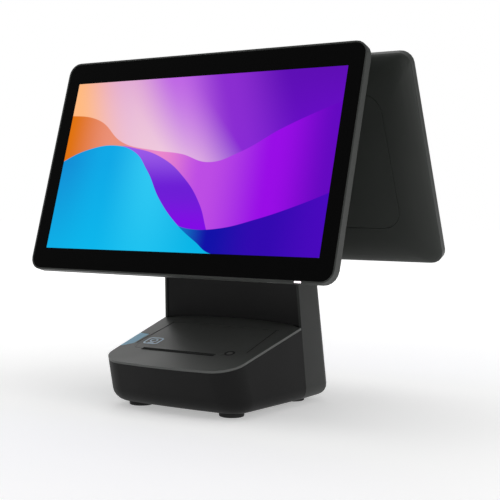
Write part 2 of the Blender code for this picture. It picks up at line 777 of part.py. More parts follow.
def build_display(paint, prefix, frame):
    """Glass, panel, rim, back and hinge plate of one display.

    The frame has X to the viewer's right, Y up the screen and Z out of the glass;
    it is a child of the tilt axis's empty."""
    glass_half = (DISPLAY_HALF_WIDTH - RIM_WIDTH, DISPLAY_HALF_HEIGHT - RIM_WIDTH)
    glass_corner = DISPLAY_CORNER - RIM_WIDTH
    outline = rounded_rectangle(*glass_half, glass_corner)
    glass = plate([outline], -GLASS_THICKNESS, 0)
    finish(glass, f"{prefix}_glass", paint["glass"], frame)

    ledge = GLASS_THICKNESS + GAP
    lcd_half = (SCREEN_HALF_WIDTH + LCD_BORDER, SCREEN_HALF_HEIGHT + LCD_BORDER)
    lcd_front = ledge + GAP
    lcd_back = lcd_front + LCD_THICKNESS
    panel = box(
        (-lcd_half[0], -lcd_half[1], -lcd_back), (lcd_half[0], lcd_half[1], -lcd_front)
    )
    finish(panel, f"{prefix}_lcd_panel", paint["lcd"], frame)

    pocket = lcd_back + GAP
    inner_half = (DISPLAY_HALF_WIDTH - RIM_WALL, DISPLAY_HALF_HEIGHT - RIM_WALL)
    recess = (glass_half[0] + GAP, glass_half[1] + GAP, glass_corner + GAP)
    hole = (lcd_half[0] + GAP, lcd_half[1] + GAP, GAP)
    rings = [
        display_ring(*inner_half, DISPLAY_CORNER - RIM_WALL, pocket + MID_PLATE),
        display_ring(*inner_half, DISPLAY_CORNER - RIM_WALL, RIM_DEPTH),
        display_ring(DISPLAY_HALF_WIDTH, DISPLAY_HALF_HEIGHT, DISPLAY_CORNER, RIM_DEPTH),
        display_ring(DISPLAY_HALF_WIDTH, DISPLAY_HALF_HEIGHT, DISPLAY_CORNER, 0),
        display_ring(*recess, 0),
        display_ring(*recess, ledge),
        display_ring(*hole, ledge),
        display_ring(*hole, pocket),
    ]
    cuts = [display_light(paint, prefix, frame)]
    if prefix == "main":
        cuts.append(power_slot(GAP))
    build(f"{prefix}_housing", paint["rim"], frame, loft(rings), cuts=cuts)

    start = RIM_DEPTH + GAP
    outside = []
    inside = []
    for step in range(BACK_STEPS + 1):
        turn = pi / 2 * step / BACK_STEPS
        inset = BACK_FILLET * (1 - cos(turn))
        bulge = BACK_BULGE * sin(turn)
        radius = DISPLAY_CORNER + inset / 4
        size = (DISPLAY_HALF_WIDTH - inset, DISPLAY_HALF_HEIGHT - inset)
        outside.append(display_ring(*size, radius, start + bulge))
        size = (size[0] - BACK_WALL, size[1] - BACK_WALL)
        depth = start + bulge * (BACK_BULGE - BACK_WALL) / BACK_BULGE
        inside.append(display_ring(*size, radius - BACK_WALL, depth))
    back = start + BACK_BULGE
    seat = (SERVICE_HALF_WIDTH + GAP, SERVICE_HALF_HEIGHT + GAP, SERVICE_RADIUS + GAP)
    rings = list(reversed(inside)) + outside
    rings.append(display_ring(*seat, back, SERVICE_RISE))
    rings.append(display_ring(*seat, back - SERVICE_THICKNESS - GAP, SERVICE_RISE))
    finish(loft(rings), f"{prefix}_back_cover", paint["back"], frame)
    outline = rounded_rectangle(
        SERVICE_HALF_WIDTH, SERVICE_HALF_HEIGHT, SERVICE_RADIUS, SERVICE_RISE
    )
    panel = plate([outline], -back, SERVICE_THICKNESS - back)
    finish(panel, f"{prefix}_service_cover", paint["back"], frame)

    face = -back - GAP
    half = HINGE_PLATE_HALF
    pivot = (0, -PIVOT_DROP, -PIVOT_BEHIND)
    foot = box(
        (-half, -half - PIVOT_DROP, face - HINGE_PLATE_THICKNESS),
        (half, half - PIVOT_DROP, face),
    )
    inside = face - HINGE_PLATE_THICKNESS / 2
    knuckle = arc(pivot[1:], BARREL_RADIUS, 180, 360, 12)
    knuckle += [(pivot[1] + BARREL_RADIUS, inside), (pivot[1] - BARREL_RADIUS, inside)]
    bore = circle(pivot[1:], PIN_RADIUS + RUNNING_GAP)
    barrel = plate([knuckle, bore], -KNUCKLE_HALF, KNUCKLE_HALF, ALONG_X)
    build(f"{prefix}_hinge_plate", paint["cast"], frame, foot, [barrel])

    board_front = -(pocket + MID_PLATE + GAP)
    name, width, height = DISPLAY_BOARDS[prefix]
    board = box(
        (-width, -height, board_front - BOARD_THICKNESS), (width, height, board_front)
    )
    finish(board, name, paint["board"], frame)


def display_light(paint, prefix, frame):
    """Build a display's light and return the cutter for its pocket.

    The main display has a small lamp in its lower rim, the customer display a strip
    along its upper edge."""
    if prefix == "main":
        x, half, edge, depth = LIGHT_X, LIGHT_WIDTH / 2, -DISPLAY_HALF_HEIGHT, 2 * MM
        near, far = 0.0, depth
        name = "status_light"
    else:
        x, half, edge = 0.0, STRIP_HALF_WIDTH, DISPLAY_HALF_HEIGHT
        near, far = 3 * MM, 6 * MM
        name = "light_strip"
    inward = -1 if edge > 0 else 1
    inner = edge + inward * 1.1 * MM
    low, high = sorted((edge, inner))
    light = box((x - half, low, -far), (x + half, high, -near))
    finish(light, f"{prefix}_{name}", paint["light"], frame)
    wall_low, wall_high = sorted((edge - inward * 5 * MM, inner + inward * GAP))
    top = 5 * MM if near == 0 else GAP - near
    return box((x - half - GAP, wall_low, -far - GAP), (x + half + GAP, wall_high, top))


def power_slot(clearance):
    """The power button's shape in the lower edge, grown by a clearance."""
    middle = -(RIM_DEPTH - POWER_THICKNESS / 2 - 0.5 * MM)
    half = POWER_WIDTH / 2 + clearance
    thick = POWER_THICKNESS / 2 + (clearance if clearance < GAP else GAP)
    reach = 5 * MM if clearance else 0
    return box(
        (POWER_X - half, -DISPLAY_HALF_HEIGHT - reach, middle - thick),
        (POWER_X + half, -DISPLAY_HALF_HEIGHT + RIM_WALL + MM, middle + thick),
    )


# ------------------------------------------------------------------- lid and mechanism


def lid_outline(grow, rear, slot):
    """The lid in plan on the deck, grown on all sides, with the paper slot if asked."""

    def edge(ahead):
        share = (ahead - LID_REAR) / (LID_FRONT - LID_REAR)
        return LID_HALF_REAR + (LID_HALF_FRONT - LID_HALF_REAR) * share + grow

    front = LID_FRONT + grow
    tongue = (BUTTON_X, -BUTTON_AHEAD)
    radius = TONGUE_RADIUS - grow
    tongue_rear = BUTTON_AHEAD - radius
    points = [(-edge(rear), -rear), (edge(rear), -rear)]
    points.append((edge(tongue_rear), -tongue_rear))
    points += arc(tongue, radius, 90, 180, 8)
    points.append((BUTTON_X - radius, -front))
    if slot:
        back = front - grow + SLOT_WIDTH + LID_SEAM
        points += [(SLOT_RIGHT, -front), (SLOT_RIGHT, -back)]
        points += [(SLOT_LEFT, -back), (SLOT_LEFT, -front)]
    corner = (-edge(front) + LID_CORNER, -front + LID_CORNER)
    points += arc(corner, LID_CORNER, 270, 180, 5)
    return points


def build_lid(paint, deck, axis, platen_axis):
    """Lid, its hinge pins, the carrier under it, the fixed blade and the platen."""
    ears = []
    holes = []
    for side in (-1, 1):
        inner = side * (LID_HALF_REAR - LID_EAR_WIDTH)
        outer = side * (LID_HALF_REAR - 0.2 * MM)
        low_x, high_x = sorted((inner, outer))
        ears.append(
            box(
                (low_x, -LID_REAR - LID_EAR_LENGTH, -LID_EAR_DEPTH),
                (high_x, -LID_REAR - 0.1 * MM, -DECK_THICKNESS / 2),
            )
        )
        inside = side * (LID_HALF_REAR - LID_EAR_WIDTH / 2)
        past = side * (LID_HALF_REAR + 5 * MM)
        holes.append(
            rod(
                (inside, -LID_AXIS_AHEAD, -LID_AXIS_BELOW),
                (past, -LID_AXIS_AHEAD, -LID_AXIS_BELOW),
                LID_PIN_RADIUS + GAP,
            )
        )
        pin = rod(
            (inside + side * GAP, -LID_AXIS_AHEAD, -LID_AXIS_BELOW),
            (side * (LID_HALF_REAR + LID_PIN_REACH), -LID_AXIS_AHEAD, -LID_AXIS_BELOW),
            LID_PIN_RADIUS,
        )
        word = "left" if side < 0 else "right"
        finish(pin, f"lid_hinge_pin_{word}", paint["steel"], deck, axis)
    lid = plate([lid_outline(0, LID_REAR, False)], -DECK_THICKNESS, 0)
    build("printer_lid", paint["deck"], deck, lid, ears, holes, axis)

    top = -CARRIER_TOP
    sheet = box(
        (CATCH_ARM + 0.2 * MM, -CARRIER_FRONT, top - CARRIER_SHEET),
        (PAPER_X + CARRIER_ARM + CARRIER_ARM_WIDTH + MM, -CARRIER_REAR, top),
    )
    joins = [
        box(
            (CATCH_ARM, -CATCH_AHEAD - 4 * MM, -CATCH_BELOW - 3 * MM),
            (CATCH_ARM + 2 * MM, -CATCH_AHEAD + 4 * MM, top - CARRIER_SHEET / 2),
        ),
        rod(
            (CATCH_ARM + MM, -CATCH_AHEAD, -CATCH_BELOW),
            (HOOK_LEFT + HOOK_WIDTH + MM, -CATCH_AHEAD, -CATCH_BELOW),
            CATCH_RADIUS,
            16,
        ),
    ]
    for side in (-1, 1):
        low_x, high_x = sorted(
            (side * CARRIER_ARM, side * (CARRIER_ARM + CARRIER_ARM_WIDTH))
        )
        joins.append(
            box(
                (
                    PAPER_X + low_x,
                    MM - CARRIER_FRONT,
                    -PLATEN_BELOW - SHAFT_RADIUS - ARM_RIM,
                ),
                (PAPER_X + high_x, -PLATEN_AHEAD + ARM_REACH, top - CARRIER_SHEET / 2),
            )
        )
    bore = rod(
        (-LID_HALF_FRONT, -PLATEN_AHEAD, -PLATEN_BELOW),
        (LID_HALF_FRONT, -PLATEN_AHEAD, -PLATEN_BELOW),
        SHAFT_RADIUS + RUNNING_GAP,
    )
    build("lid_carrier", paint["steel"], deck, sheet, joins, [bore], axis)
    blade = box(
        (PAPER_X - BLADE_HALF_WIDTH, -LID_FRONT + GAP, -BLADE_BELOW - BLADE_THICKNESS),
        (PAPER_X + BLADE_HALF_WIDTH, -CARRIER_FRONT + ARM_REACH, -BLADE_BELOW),
    )
    finish(blade, "fixed_blade", paint["blade"], deck, axis)

    shaft_end = RIGHT_PLATE + SIDE_PLATE_THICKNESS + SHAFT_PROUD
    shaft = rod((LEFT_PLATE - SHAFT_PROUD, 0, 0), (shaft_end, 0, 0), SHAFT_RADIUS)
    finish(shaft, "platen_shaft", paint["steel"], platen_axis)
    sleeve = [circle((0, 0), PLATEN_RADIUS, 32), circle((0, 0), SHAFT_RADIUS + GAP)]
    ends = (PAPER_X - PLATEN_HALF_LENGTH, PAPER_X + PLATEN_HALF_LENGTH)
    roller = plate(sleeve, *ends, ALONG_X)
    finish(roller, "platen_roller", paint["rubber"], platen_axis)


def build_gears(paint, platen_axis, idler_axis, pinion_axis, idler, pinion):
    """The train from the motor's pinion through the idler to the platen's gear.

    Each gear is drawn about its own axis; idler and pinion are the centres of those
    gears seen from the platen, in the deck frame's Y and Z."""
    high = RIGHT_PLATE - GEAR_CLEARANCE
    low = high - GEAR_WIDTH
    to_idler = atan2(idler[1], idler[0])
    outline = gear_outline((0, 0), PLATEN_TEETH, to_idler)
    gear = plate([outline, circle((0, 0), SHAFT_RADIUS + GAP)], low, high, ALONG_X)
    finish(gear, "platen_gear", paint["gear"], platen_axis)

    idler_pitch = 2 * pi / IDLER_TEETH
    idler_phase = to_idler + pi + idler_pitch / 2
    outline = gear_outline((0, 0), IDLER_TEETH, idler_phase)
    bore = circle((0, 0), AXLE_RADIUS + RUNNING_GAP)
    finish(plate([outline, bore], low, high, ALONG_X), "idler_gear", paint["gear"], idler_axis)

    step = (pinion[0] - idler[0], pinion[1] - idler[1])
    to_pinion = atan2(step[1], step[0])
    turns = (idler_phase - to_pinion) / idler_pitch
    ahead = (turns - round(turns)) * idler_pitch
    pinion_pitch = 2 * pi / PINION_TEETH
    phase = to_pinion + pi - ahead * IDLER_TEETH / PINION_TEETH + pinion_pitch / 2
    outline = gear_outline((0, 0), PINION_TEETH, phase)
    gear = plate([outline], low, high, ALONG_X)
    stem_end = RIGHT_PLATE + SIDE_PLATE_THICKNESS
    stem = rod((low + GEAR_WIDTH / 2, 0, 0), (stem_end, 0, 0), MOTOR_SHAFT_RADIUS, 16)
    build("motor_pinion", paint["steel"], pinion_axis, gear, [stem])


def build_mechanism(paint, root, deck, idler_place, pinion_place, blade_axis):
    """Side plates, head, cutter, motor, board and the bucket for the roll."""
    shaft_room = SHAFT_RADIUS + RUNNING_GAP
    notch_rear = PLATEN_AHEAD - shaft_room
    notch_front = PLATEN_AHEAD + shaft_room + 2 * MM
    notch_bottom = PLATEN_BELOW + shaft_room

    def side_outline(rear, ear_front=0):
        ear = [(-rear, -SIDE_PLATE_TOP)]
        if ear_front:
            ear = [(-rear, -EAR_TOP), (-ear_front, -EAR_TOP), (-ear_front, -SIDE_PLATE_TOP)]
        return ear + [
            (-notch_rear, -SIDE_PLATE_TOP),
            (-notch_rear, -notch_bottom),
            (-notch_front, -notch_bottom),
            (-notch_front, -SIDE_PLATE_TOP),
            (-SIDE_PLATE_FRONT, -SIDE_PLATE_TOP),
            (-SIDE_PLATE_FRONT, -floor_below(SIDE_PLATE_FRONT)),
            (-rear, -floor_below(rear)),
        ]

    lever_rear = LEVER_AHEAD - 5 * MM
    lever_hole = circle((-LEVER_AHEAD, -LEVER_BELOW), SHAFT_RADIUS + RUNNING_GAP)
    outlines = [side_outline(lever_rear, LEVER_AHEAD + 3.7 * MM), lever_hole]
    left = plate(outlines, LEFT_PLATE, LEFT_PLATE + SIDE_PLATE_THICKNESS, ALONG_X)
    finish(left, "printer_frame_left", paint["steel"], deck)
    stem_room = circle(pinion_place, MOTOR_SHAFT_RADIUS + RUNNING_GAP)
    outlines = [side_outline(-pinion_place[0] - 8 * MM), stem_room]
    right = plate(outlines, RIGHT_PLATE, RIGHT_PLATE + SIDE_PLATE_THICKNESS, ALONG_X)
    gear_left = RIGHT_PLATE - GEAR_CLEARANCE - GEAR_WIDTH
    axle = rod(
        (gear_left, *idler_place),
        (RIGHT_PLATE + SIDE_PLATE_THICKNESS / 2, *idler_place),
        AXLE_RADIUS,
    )
    build("printer_frame_right", paint["steel"], deck, right, [axle])

    motor_left = RIGHT_PLATE + SIDE_PLATE_THICKNESS + GAP
    motor_right = motor_left + MOTOR_LENGTH
    ends = ((motor_left, *pinion_place), (motor_right, *pinion_place))
    motor = rod(*ends, MOTOR_RADIUS, 32)
    finish(motor, "stepper_motor", paint["cast"], deck)

    head_top = PLATEN_BELOW + PLATEN_RADIUS + GAP
    head_bottom = head_top + HEAD_THICKNESS
    head_half = PLATEN_HALF_LENGTH + MM
    head = box(
        (PAPER_X - head_half, -PLATEN_AHEAD - HEAD_AHEAD, -head_bottom),
        (PAPER_X + head_half, -PLATEN_AHEAD + HEAD_BEHIND, -head_top),
    )
    finish(head, "print_head", paint["blade"], deck)
    beam_top = head_bottom + GAP
    beam_rear = idler_place[0] - (IDLER_TEETH / 2 + 1) * GEAR_MODULE - GAP
    beam = box(
        (
            LEFT_PLATE + SIDE_PLATE_THICKNESS + GAP,
            beam_rear - BEAM_WIDTH,
            -beam_top - BEAM_THICKNESS,
        ),
        (RIGHT_PLATE - GAP, beam_rear, -beam_top),
    )
    finish(beam, "printer_cross_beam", paint["steel"], deck)

    edge = CUTTER_EDGE
    blade_low = BLADE_BELOW - GAP
    blade_left = PAPER_X - BLADE_HALF_WIDTH
    blade_right = PAPER_X + BLADE_HALF_WIDTH
    blade = box(
        (blade_left, -edge - BLADE_LENGTH, -blade_low),
        (blade_right, -edge, -blade_low + BLADE_THICKNESS),
    )
    finish(blade, "cutter_blade", paint["blade"], deck, blade_axis)
    guide = box(
        (LEFT_PLATE, -GUIDE_FRONT, -SIDE_PLATE_TOP + GAP),
        (RIGHT_PLATE + SIDE_PLATE_THICKNESS, -edge - MM, -DECK_THICKNESS - GAP),
    )
    slot = box(
        (
            blade_left - RUNNING_GAP,
            -edge - BLADE_LENGTH - RUNNING_GAP,
            -blade_low - RUNNING_GAP,
        ),
        (
            blade_right + RUNNING_GAP,
            -edge + 5 * MM,
            -blade_low + BLADE_THICKNESS + RUNNING_GAP,
        ),
    )
    build("cutter_guide", paint["casing"], deck, guide, cuts=[slot])

    build_bucket(paint, root)
    board_right = LEFT_PLATE - BOARD_TO_PLATE
    board = box(
        (board_right - BOARD_WIDTH, BOARD_REAR - BOARD_LENGTH, FLOOR),
        (board_right, BOARD_REAR, FLOOR + BOARD_THICKNESS),
    )
    finish(board, "printer_board", paint["board"], root)


def build_bucket(paint, root):
    """The tub with a round floor that holds the paper roll."""

    def ring(radius, wall, z, top=False):
        middle = FLOOR + BUCKET_RADIUS
        down = max(0, middle - z)
        half = sqrt(max(radius**2 - down**2, (radius / 6) ** 2))
        width = BUCKET_HALF_WIDTH - wall
        points = []
        for x, y in rounded_rectangle(width, half, BUCKET_CORNER - wall, steps=2):
            share = (y / half + 1) / 2
            height = BUCKET_FRONT_TOP + (BUCKET_REAR_TOP - BUCKET_FRONT_TOP) * share
            points.append(Vector((PAPER_X + x, y - BUCKET_CENTRE, height if top else z)))
        return points

    middle = FLOOR + BUCKET_RADIUS
    angles = [radians(90 - step * 15) for step in range(7)]
    outside = [ring(BUCKET_RADIUS, 0, middle - BUCKET_RADIUS * sin(a)) for a in angles]
    inner = BUCKET_RADIUS - BUCKET_WALL
    inside = [ring(inner, BUCKET_WALL, middle - inner * sin(a)) for a in angles]
    top = [ring(BUCKET_RADIUS, 0, middle, True), ring(inner, BUCKET_WALL, middle, True)]
    rings = outside + top + list(reversed(inside))
    finish(loft(rings), "paper_bucket", paint["casing"], root)


# ------------------------------------------------------------- release lever and buttons


def tab_prism(clearance, top, bottom):
    """The release tab's outline through the rim, between two depths under the deck."""
    outside = HALF_WIDTH_AT_FLOOR + 10 * MM
    inner = -TAB_INNER + clearance
    rear = -TAB_REAR + clearance
    outline = [
        (-outside, rear),
        (inner, rear - TAB_SLANT),
        (inner, -TAB_FRONT_INNER),
        (-TAB_INNER - 9 * MM + clearance / 2, -TAB_FRONT_OUTER - clearance),
        (-outside, -TAB_FRONT_OUTER - 2 * MM - clearance),
    ]
    return plate([outline], -bottom, -top)


def build_lever(paint, root, deck, axis):
    """The blue tab on the rim, and the shaft that turns the latch hook with it."""

    def outer(z):
        return front_path(z, 0)

    def inner(z):
        return front_path(z, CASING_WALL)

    block = loft([on_deck(outer, TAB_SKIRT), on_deck(outer, 0)])
    hollow = loft([on_deck(inner, TAB_ROOM), on_deck(inner, DECK_THICKNESS)])
    for shape in (block, hollow):
        shape.data.transform(deck.matrix_local.inverted())
    boss = box(
        (-TAB_INNER - 7 * MM, -LEVER_AHEAD - 3.6 * MM, -LEVER_BELOW - 3.6 * MM),
        (-TAB_INNER - MM, -LEVER_AHEAD + 3.6 * MM, -DECK_THICKNESS / 2),
    )
    shaft_start = -TAB_INNER - 7 * MM
    bore = rod(
        (shaft_start - 5 * MM, -LEVER_AHEAD, -LEVER_BELOW),
        (-TAB_INNER + 5 * MM, -LEVER_AHEAD, -LEVER_BELOW),
        SHAFT_RADIUS + GAP,
    )
    boolean(block, with_parent(hollow, deck, axis), "DIFFERENCE")
    boolean(block, with_parent(tab_prism(0, -MM, TAB_ROOM), deck, axis), "INTERSECT")
    build("release_tab", paint["blue"], deck, block, [boss], [bore], axis)

    shaft = rod(
        (shaft_start, -LEVER_AHEAD, -LEVER_BELOW),
        (LEFT_PLATE + 4 * MM, -LEVER_AHEAD, -LEVER_BELOW),
        SHAFT_RADIUS,
    )
    nose_bottom = CATCH_BELOW - CATCH_RADIUS - 0.5 * MM
    half = HOOK_HUB / 2
    tip = -CATCH_AHEAD + CATCH_RADIUS + GAP
    hook = arc((-LEVER_AHEAD, -LEVER_BELOW), HOOK_HUB, -60, 240, 14)
    hook += [(-LEVER_AHEAD - half, 3 * MM - nose_bottom), (tip, 3 * MM - nose_bottom)]
    hook += [(tip, -nose_bottom), (-LEVER_AHEAD + half, -nose_bottom)]
    plate_hook = plate([hook], HOOK_LEFT, HOOK_LEFT + HOOK_WIDTH, ALONG_X)
    build("latch_shaft", paint["gear"], deck, shaft, [plate_hook], axis=axis)


def build_buttons(paint, deck, screen, feed_axis, power_axis):
    """The paper-feed button on the deck and the power button under the main display."""
    stem = rod(
        (BUTTON_X, -BUTTON_AHEAD, -BUTTON_LENGTH), (BUTTON_X, -BUTTON_AHEAD, 0), BUTTON_RADIUS
    )
    finish(stem, "feed_button", paint["button"], deck, feed_axis)
    finish(power_slot(0), "main_power_button", paint["button"], screen, power_axis)


# -------------------------------------------------------------------------------- main


def pivot_of(centre, tilt, facing):
    """Where a display's tilt axis lies; facing is -1 towards the operator, else 1."""
    out = Vector((0, facing * cos(tilt), sin(tilt)))
    up = Vector((0, -facing * sin(tilt), cos(tilt)))
    return centre - PIVOT_BEHIND * out - PIVOT_DROP * up


def middle_of_footprint():
    """Y of the middle of the terminal's box, from the column line."""
    foot = CUSTOMER_CENTRE.y + DISPLAY_HALF_HEIGHT * sin(CUSTOMER_TILT)
    return (foot - FRONT_REACH) / 2


def main():
    """Build every piece."""
    paint = {
        "casing": new_material("casing_black", 34, 35, 34, 0.5),
        "deck": new_material("deck_grey", 60, 61, 60, 0.55),
        "satin": new_material("satin_shell", 62, 63, 62, 0.45),
        "panel": new_material("panel_black", 22, 22, 22, 0.6),
        "rim": new_material("rim_grey", 70, 72, 70, 0.45),
        "back": new_material("back_grey", 48, 50, 48, 0.5),
        "glass": new_material("glass_black", 4, 4, 4, 0.05),
        "lcd": new_material("lcd_violet", 96, 60, 190, 0.3),
        "rubber": new_material("rubber_black", 16, 16, 16, 0.85),
        "steel": new_material("zinc_steel", 168, 170, 172, 0.35, 1.0),
        "cast": new_material("cast_alloy", 90, 92, 94, 0.45, 1.0),
        "blade": new_material("blade_steel", 190, 192, 195, 0.2, 1.0),
        "gear": new_material("acetal_white", 225, 224, 216, 0.4),
        "board": new_material("board_green", 22, 74, 48, 0.5),
        "socket": new_material("socket_metal", 150, 152, 154, 0.3, 1.0),
        "blue": new_material("release_blue", 143, 184, 216, 0.4),
        "button": new_material("button_grey", 52, 53, 52, 0.45),
        "light": new_material("light_white", 240, 238, 242, 0.3),
    }
    root = empty("terminal", None, (0, -middle_of_footprint(), 0))
    deck = empty("deck", root, (0, 0, DECK_HEIGHT), (DECK_ANGLE, 0, 0))
    bpy.context.view_layer.update()

    build_base(paint, root, deck)
    build_column(paint, root)
    build_sockets(paint, root)

    displays = (
        ("main", MAIN_PIVOT, (pi / 2 - MAIN_TILT, 0, 0)),
        ("customer", CUSTOMER_PIVOT, (pi / 2 - CUSTOMER_TILT, 0, pi)),
    )
    screens = {}
    for prefix, pivot, rotation in displays:
        tilt = empty(f"{prefix}_tilt_axis", root, pivot)
        screen = empty(f"{prefix}_screen", tilt, (0, 0, 0), rotation)
        offset = Vector((0, PIVOT_DROP, PIVOT_BEHIND))
        screen.location = screen.rotation_euler.to_matrix() @ offset
        screens[prefix] = screen
        build_display(paint, prefix, screen)

    lid_axis = empty("lid_axis", deck, (0, -LID_AXIS_AHEAD, -LID_AXIS_BELOW))
    platen_offset = Vector(
        (0, LID_AXIS_AHEAD - PLATEN_AHEAD, LID_AXIS_BELOW - PLATEN_BELOW)
    )
    platen_axis = empty("platen_axis", lid_axis, platen_offset)
    build_lid(paint, deck, lid_axis, platen_axis)

    idler_distance = (PLATEN_TEETH + IDLER_TEETH) * GEAR_MODULE / 2
    idler_step = (IDLER_BACK, -sqrt(idler_distance**2 - IDLER_BACK**2))
    pinion_distance = (IDLER_TEETH + PINION_TEETH) * GEAR_MODULE / 2
    pinion_step = (PINION_BACK, -sqrt(pinion_distance**2 - PINION_BACK**2))
    idler_place = (-PLATEN_AHEAD + idler_step[0], -PLATEN_BELOW + idler_step[1])
    pinion_place = (idler_place[0] + pinion_step[0], idler_place[1] + pinion_step[1])
    idler_axis = empty("idler_axis", deck, (0, *idler_place))
    pinion_axis = empty("pinion_axis", deck, (0, *pinion_place))
    seen = (idler_step, (idler_step[0] + pinion_step[0], idler_step[1] + pinion_step[1]))
    build_gears(paint, platen_axis, idler_axis, pinion_axis, *seen)
    blade_axis = empty("cutter_axis", deck, (0, 0, 0))
    build_mechanism(paint, root, deck, idler_place, pinion_place, blade_axis)

    lever_axis = empty("lever_axis", deck, (0, -LEVER_AHEAD, -LEVER_BELOW))
    bpy.context.view_layer.update()
    build_lever(paint, root, deck, lever_axis)
    feed_axis = empty("feed_axis", deck, (BUTTON_X, -BUTTON_AHEAD, 0))
    power_axis = empty("power_axis", screens["main"], (POWER_X, -DISPLAY_HALF_HEIGHT, 0))
    build_buttons(paint, deck, screens["main"], feed_axis, power_axis)


clear_scene()
PARTS = new_collection("pos_terminal")
CUTTERS = new_collection("cutters", hidden=True)
MAIN_PIVOT = pivot_of(MAIN_CENTRE, MAIN_TILT, -1)
CUSTOMER_PIVOT = pivot_of(CUSTOMER_CENTRE, CUSTOMER_TILT, 1)
main()
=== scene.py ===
"""Looks of a two-sided till terminal, dressed on the CAD frame.

Its classes follow the terminal's sub-assemblies: counter casing, column, displays, printer and port bay.
"""

import json
import logging
import math
from dataclasses import dataclass, field
from enum import Enum
from typing import Callable

import bmesh
import bpy
from mathutils import Matrix, Vector

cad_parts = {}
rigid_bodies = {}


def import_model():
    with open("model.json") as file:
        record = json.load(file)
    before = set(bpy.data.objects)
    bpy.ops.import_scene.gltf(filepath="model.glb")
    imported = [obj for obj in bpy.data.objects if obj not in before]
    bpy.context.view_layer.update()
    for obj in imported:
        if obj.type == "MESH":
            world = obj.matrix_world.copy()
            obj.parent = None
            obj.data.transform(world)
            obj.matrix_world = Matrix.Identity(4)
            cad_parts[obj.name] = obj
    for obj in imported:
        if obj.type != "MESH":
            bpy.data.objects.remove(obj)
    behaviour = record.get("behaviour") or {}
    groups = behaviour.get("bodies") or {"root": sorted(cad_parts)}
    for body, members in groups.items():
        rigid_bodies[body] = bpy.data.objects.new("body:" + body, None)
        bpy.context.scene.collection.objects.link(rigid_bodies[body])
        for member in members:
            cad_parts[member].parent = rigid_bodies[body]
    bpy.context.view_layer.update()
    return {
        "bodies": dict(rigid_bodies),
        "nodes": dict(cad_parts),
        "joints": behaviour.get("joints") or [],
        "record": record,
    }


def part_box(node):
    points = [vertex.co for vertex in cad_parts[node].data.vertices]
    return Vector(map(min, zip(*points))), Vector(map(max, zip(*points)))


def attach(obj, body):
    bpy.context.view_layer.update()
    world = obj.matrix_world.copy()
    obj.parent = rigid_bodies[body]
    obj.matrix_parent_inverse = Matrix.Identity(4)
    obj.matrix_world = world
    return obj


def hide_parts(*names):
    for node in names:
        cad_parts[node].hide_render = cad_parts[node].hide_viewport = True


Colour = tuple[float, float, float]
Point = tuple[float, float, float]
Stops = list[tuple[float, Colour]]
Line = tuple[tuple[float, float], ...]
Socket = bpy.types.NodeSocket
Piece = bpy.types.Object
log = logging.getLogger("terminal")


def linear(code: str) -> Colour:
    """Turns a screen colour into a scene-linear one.

    Args:
        code: six hexadecimal digits, such as "2b2d2b".

    Returns:
        The red, green and blue parts, from 0 to 1.
    """
    parts = [int(code[i : i + 2], 16) / 255 for i in (0, 2, 4)]
    return tuple(p / 12.92 if p <= 0.04045 else ((p + 0.055) / 1.055) ** 2.4 for p in parts)


def brighter(colour: Colour, times: float, plus: float = 0.0) -> Colour:
    """Scales a colour, and keeps it under white.

    Args:
        colour: the colour to scale.
        times: what each part is multiplied by.
        plus: what is then added to each part.

    Returns:
        The new colour.
    """
    return tuple(min(1.0, part * times + plus) for part in colour)


class Side(Enum):
    """Which of the two displays a piece belongs to."""

    MAIN = "main"
    CUSTOMER = "customer"


class Graph:
    """A node tree under construction."""

    def __init__(self, tree: bpy.types.NodeTree) -> None:
        """Keeps the tree.

        Args:
            tree: a material's, world's or group's node tree.
        """
        self.tree = tree

    def add(self, kind: str, inputs: dict | None = None, **settings: object) -> bpy.types.Node:
        """Adds a node.

        Args:
            kind: the node's class name, without "ShaderNode".
            inputs: a value, or an output socket to link from, for each input by name or number.
            **settings: the node's own properties.

        Returns:
            The new node.
        """
        node = self.tree.nodes.new(kind if kind.startswith("Node") else "ShaderNode" + kind)
        for name, value in settings.items():
            setattr(node, name, value)
        for name, value in (inputs or {}).items():
            if isinstance(value, Socket):
                self.tree.links.new(value, node.inputs[name])
            else:
                node.inputs[name].default_value = value
        return node

    def math(self, operation: str, *values: object, clamp: bool = False) -> Socket:
        """Adds a Math node.

        Args:
            operation: the node's operation.
            *values: numbers or output sockets for its inputs, in order.
            clamp: keeps the result from 0 to 1.

        Returns:
            The node's output.
        """
        return self.add("Math", dict(enumerate(values)), operation=operation, use_clamp=clamp).outputs[0]

    def ramp(self, value: Socket, stops: Stops) -> Socket:
        """Adds a colour ramp.

        Args:
            value: what drives the ramp, from 0 to 1.
            stops: the places along it and their colours.

        Returns:
            The ramp's colour output.
        """
        node = self.add("ValToRGB", {0: value})
        node.color_ramp.interpolation = "EASE"
        elements = node.color_ramp.elements
        while len(elements) < len(stops):
            elements.new(0.5)
        for element, (place, colour) in zip(elements, stops):
            element.position = place
            element.color = (*colour, 1)
        return node.outputs[0]

    def mix(self, share: object, first: object, second: object) -> Socket:
        """Adds a colour Mix node.

        Args:
            share: how much of the second colour, a number or a socket.
            first: the first colour, a tuple or a socket.
            second: the second colour, a tuple or a socket.

        Returns:
            The mixed colour.
        """
        node = self.add("Mix", data_type="RGBA")
        for index, value in ((0, share), (6, first), (7, second)):
            if isinstance(value, Socket):
                self.tree.links.new(value, node.inputs[index])
            else:
                node.inputs[index].default_value = (*value, 1) if index else value
        return node.outputs[2]


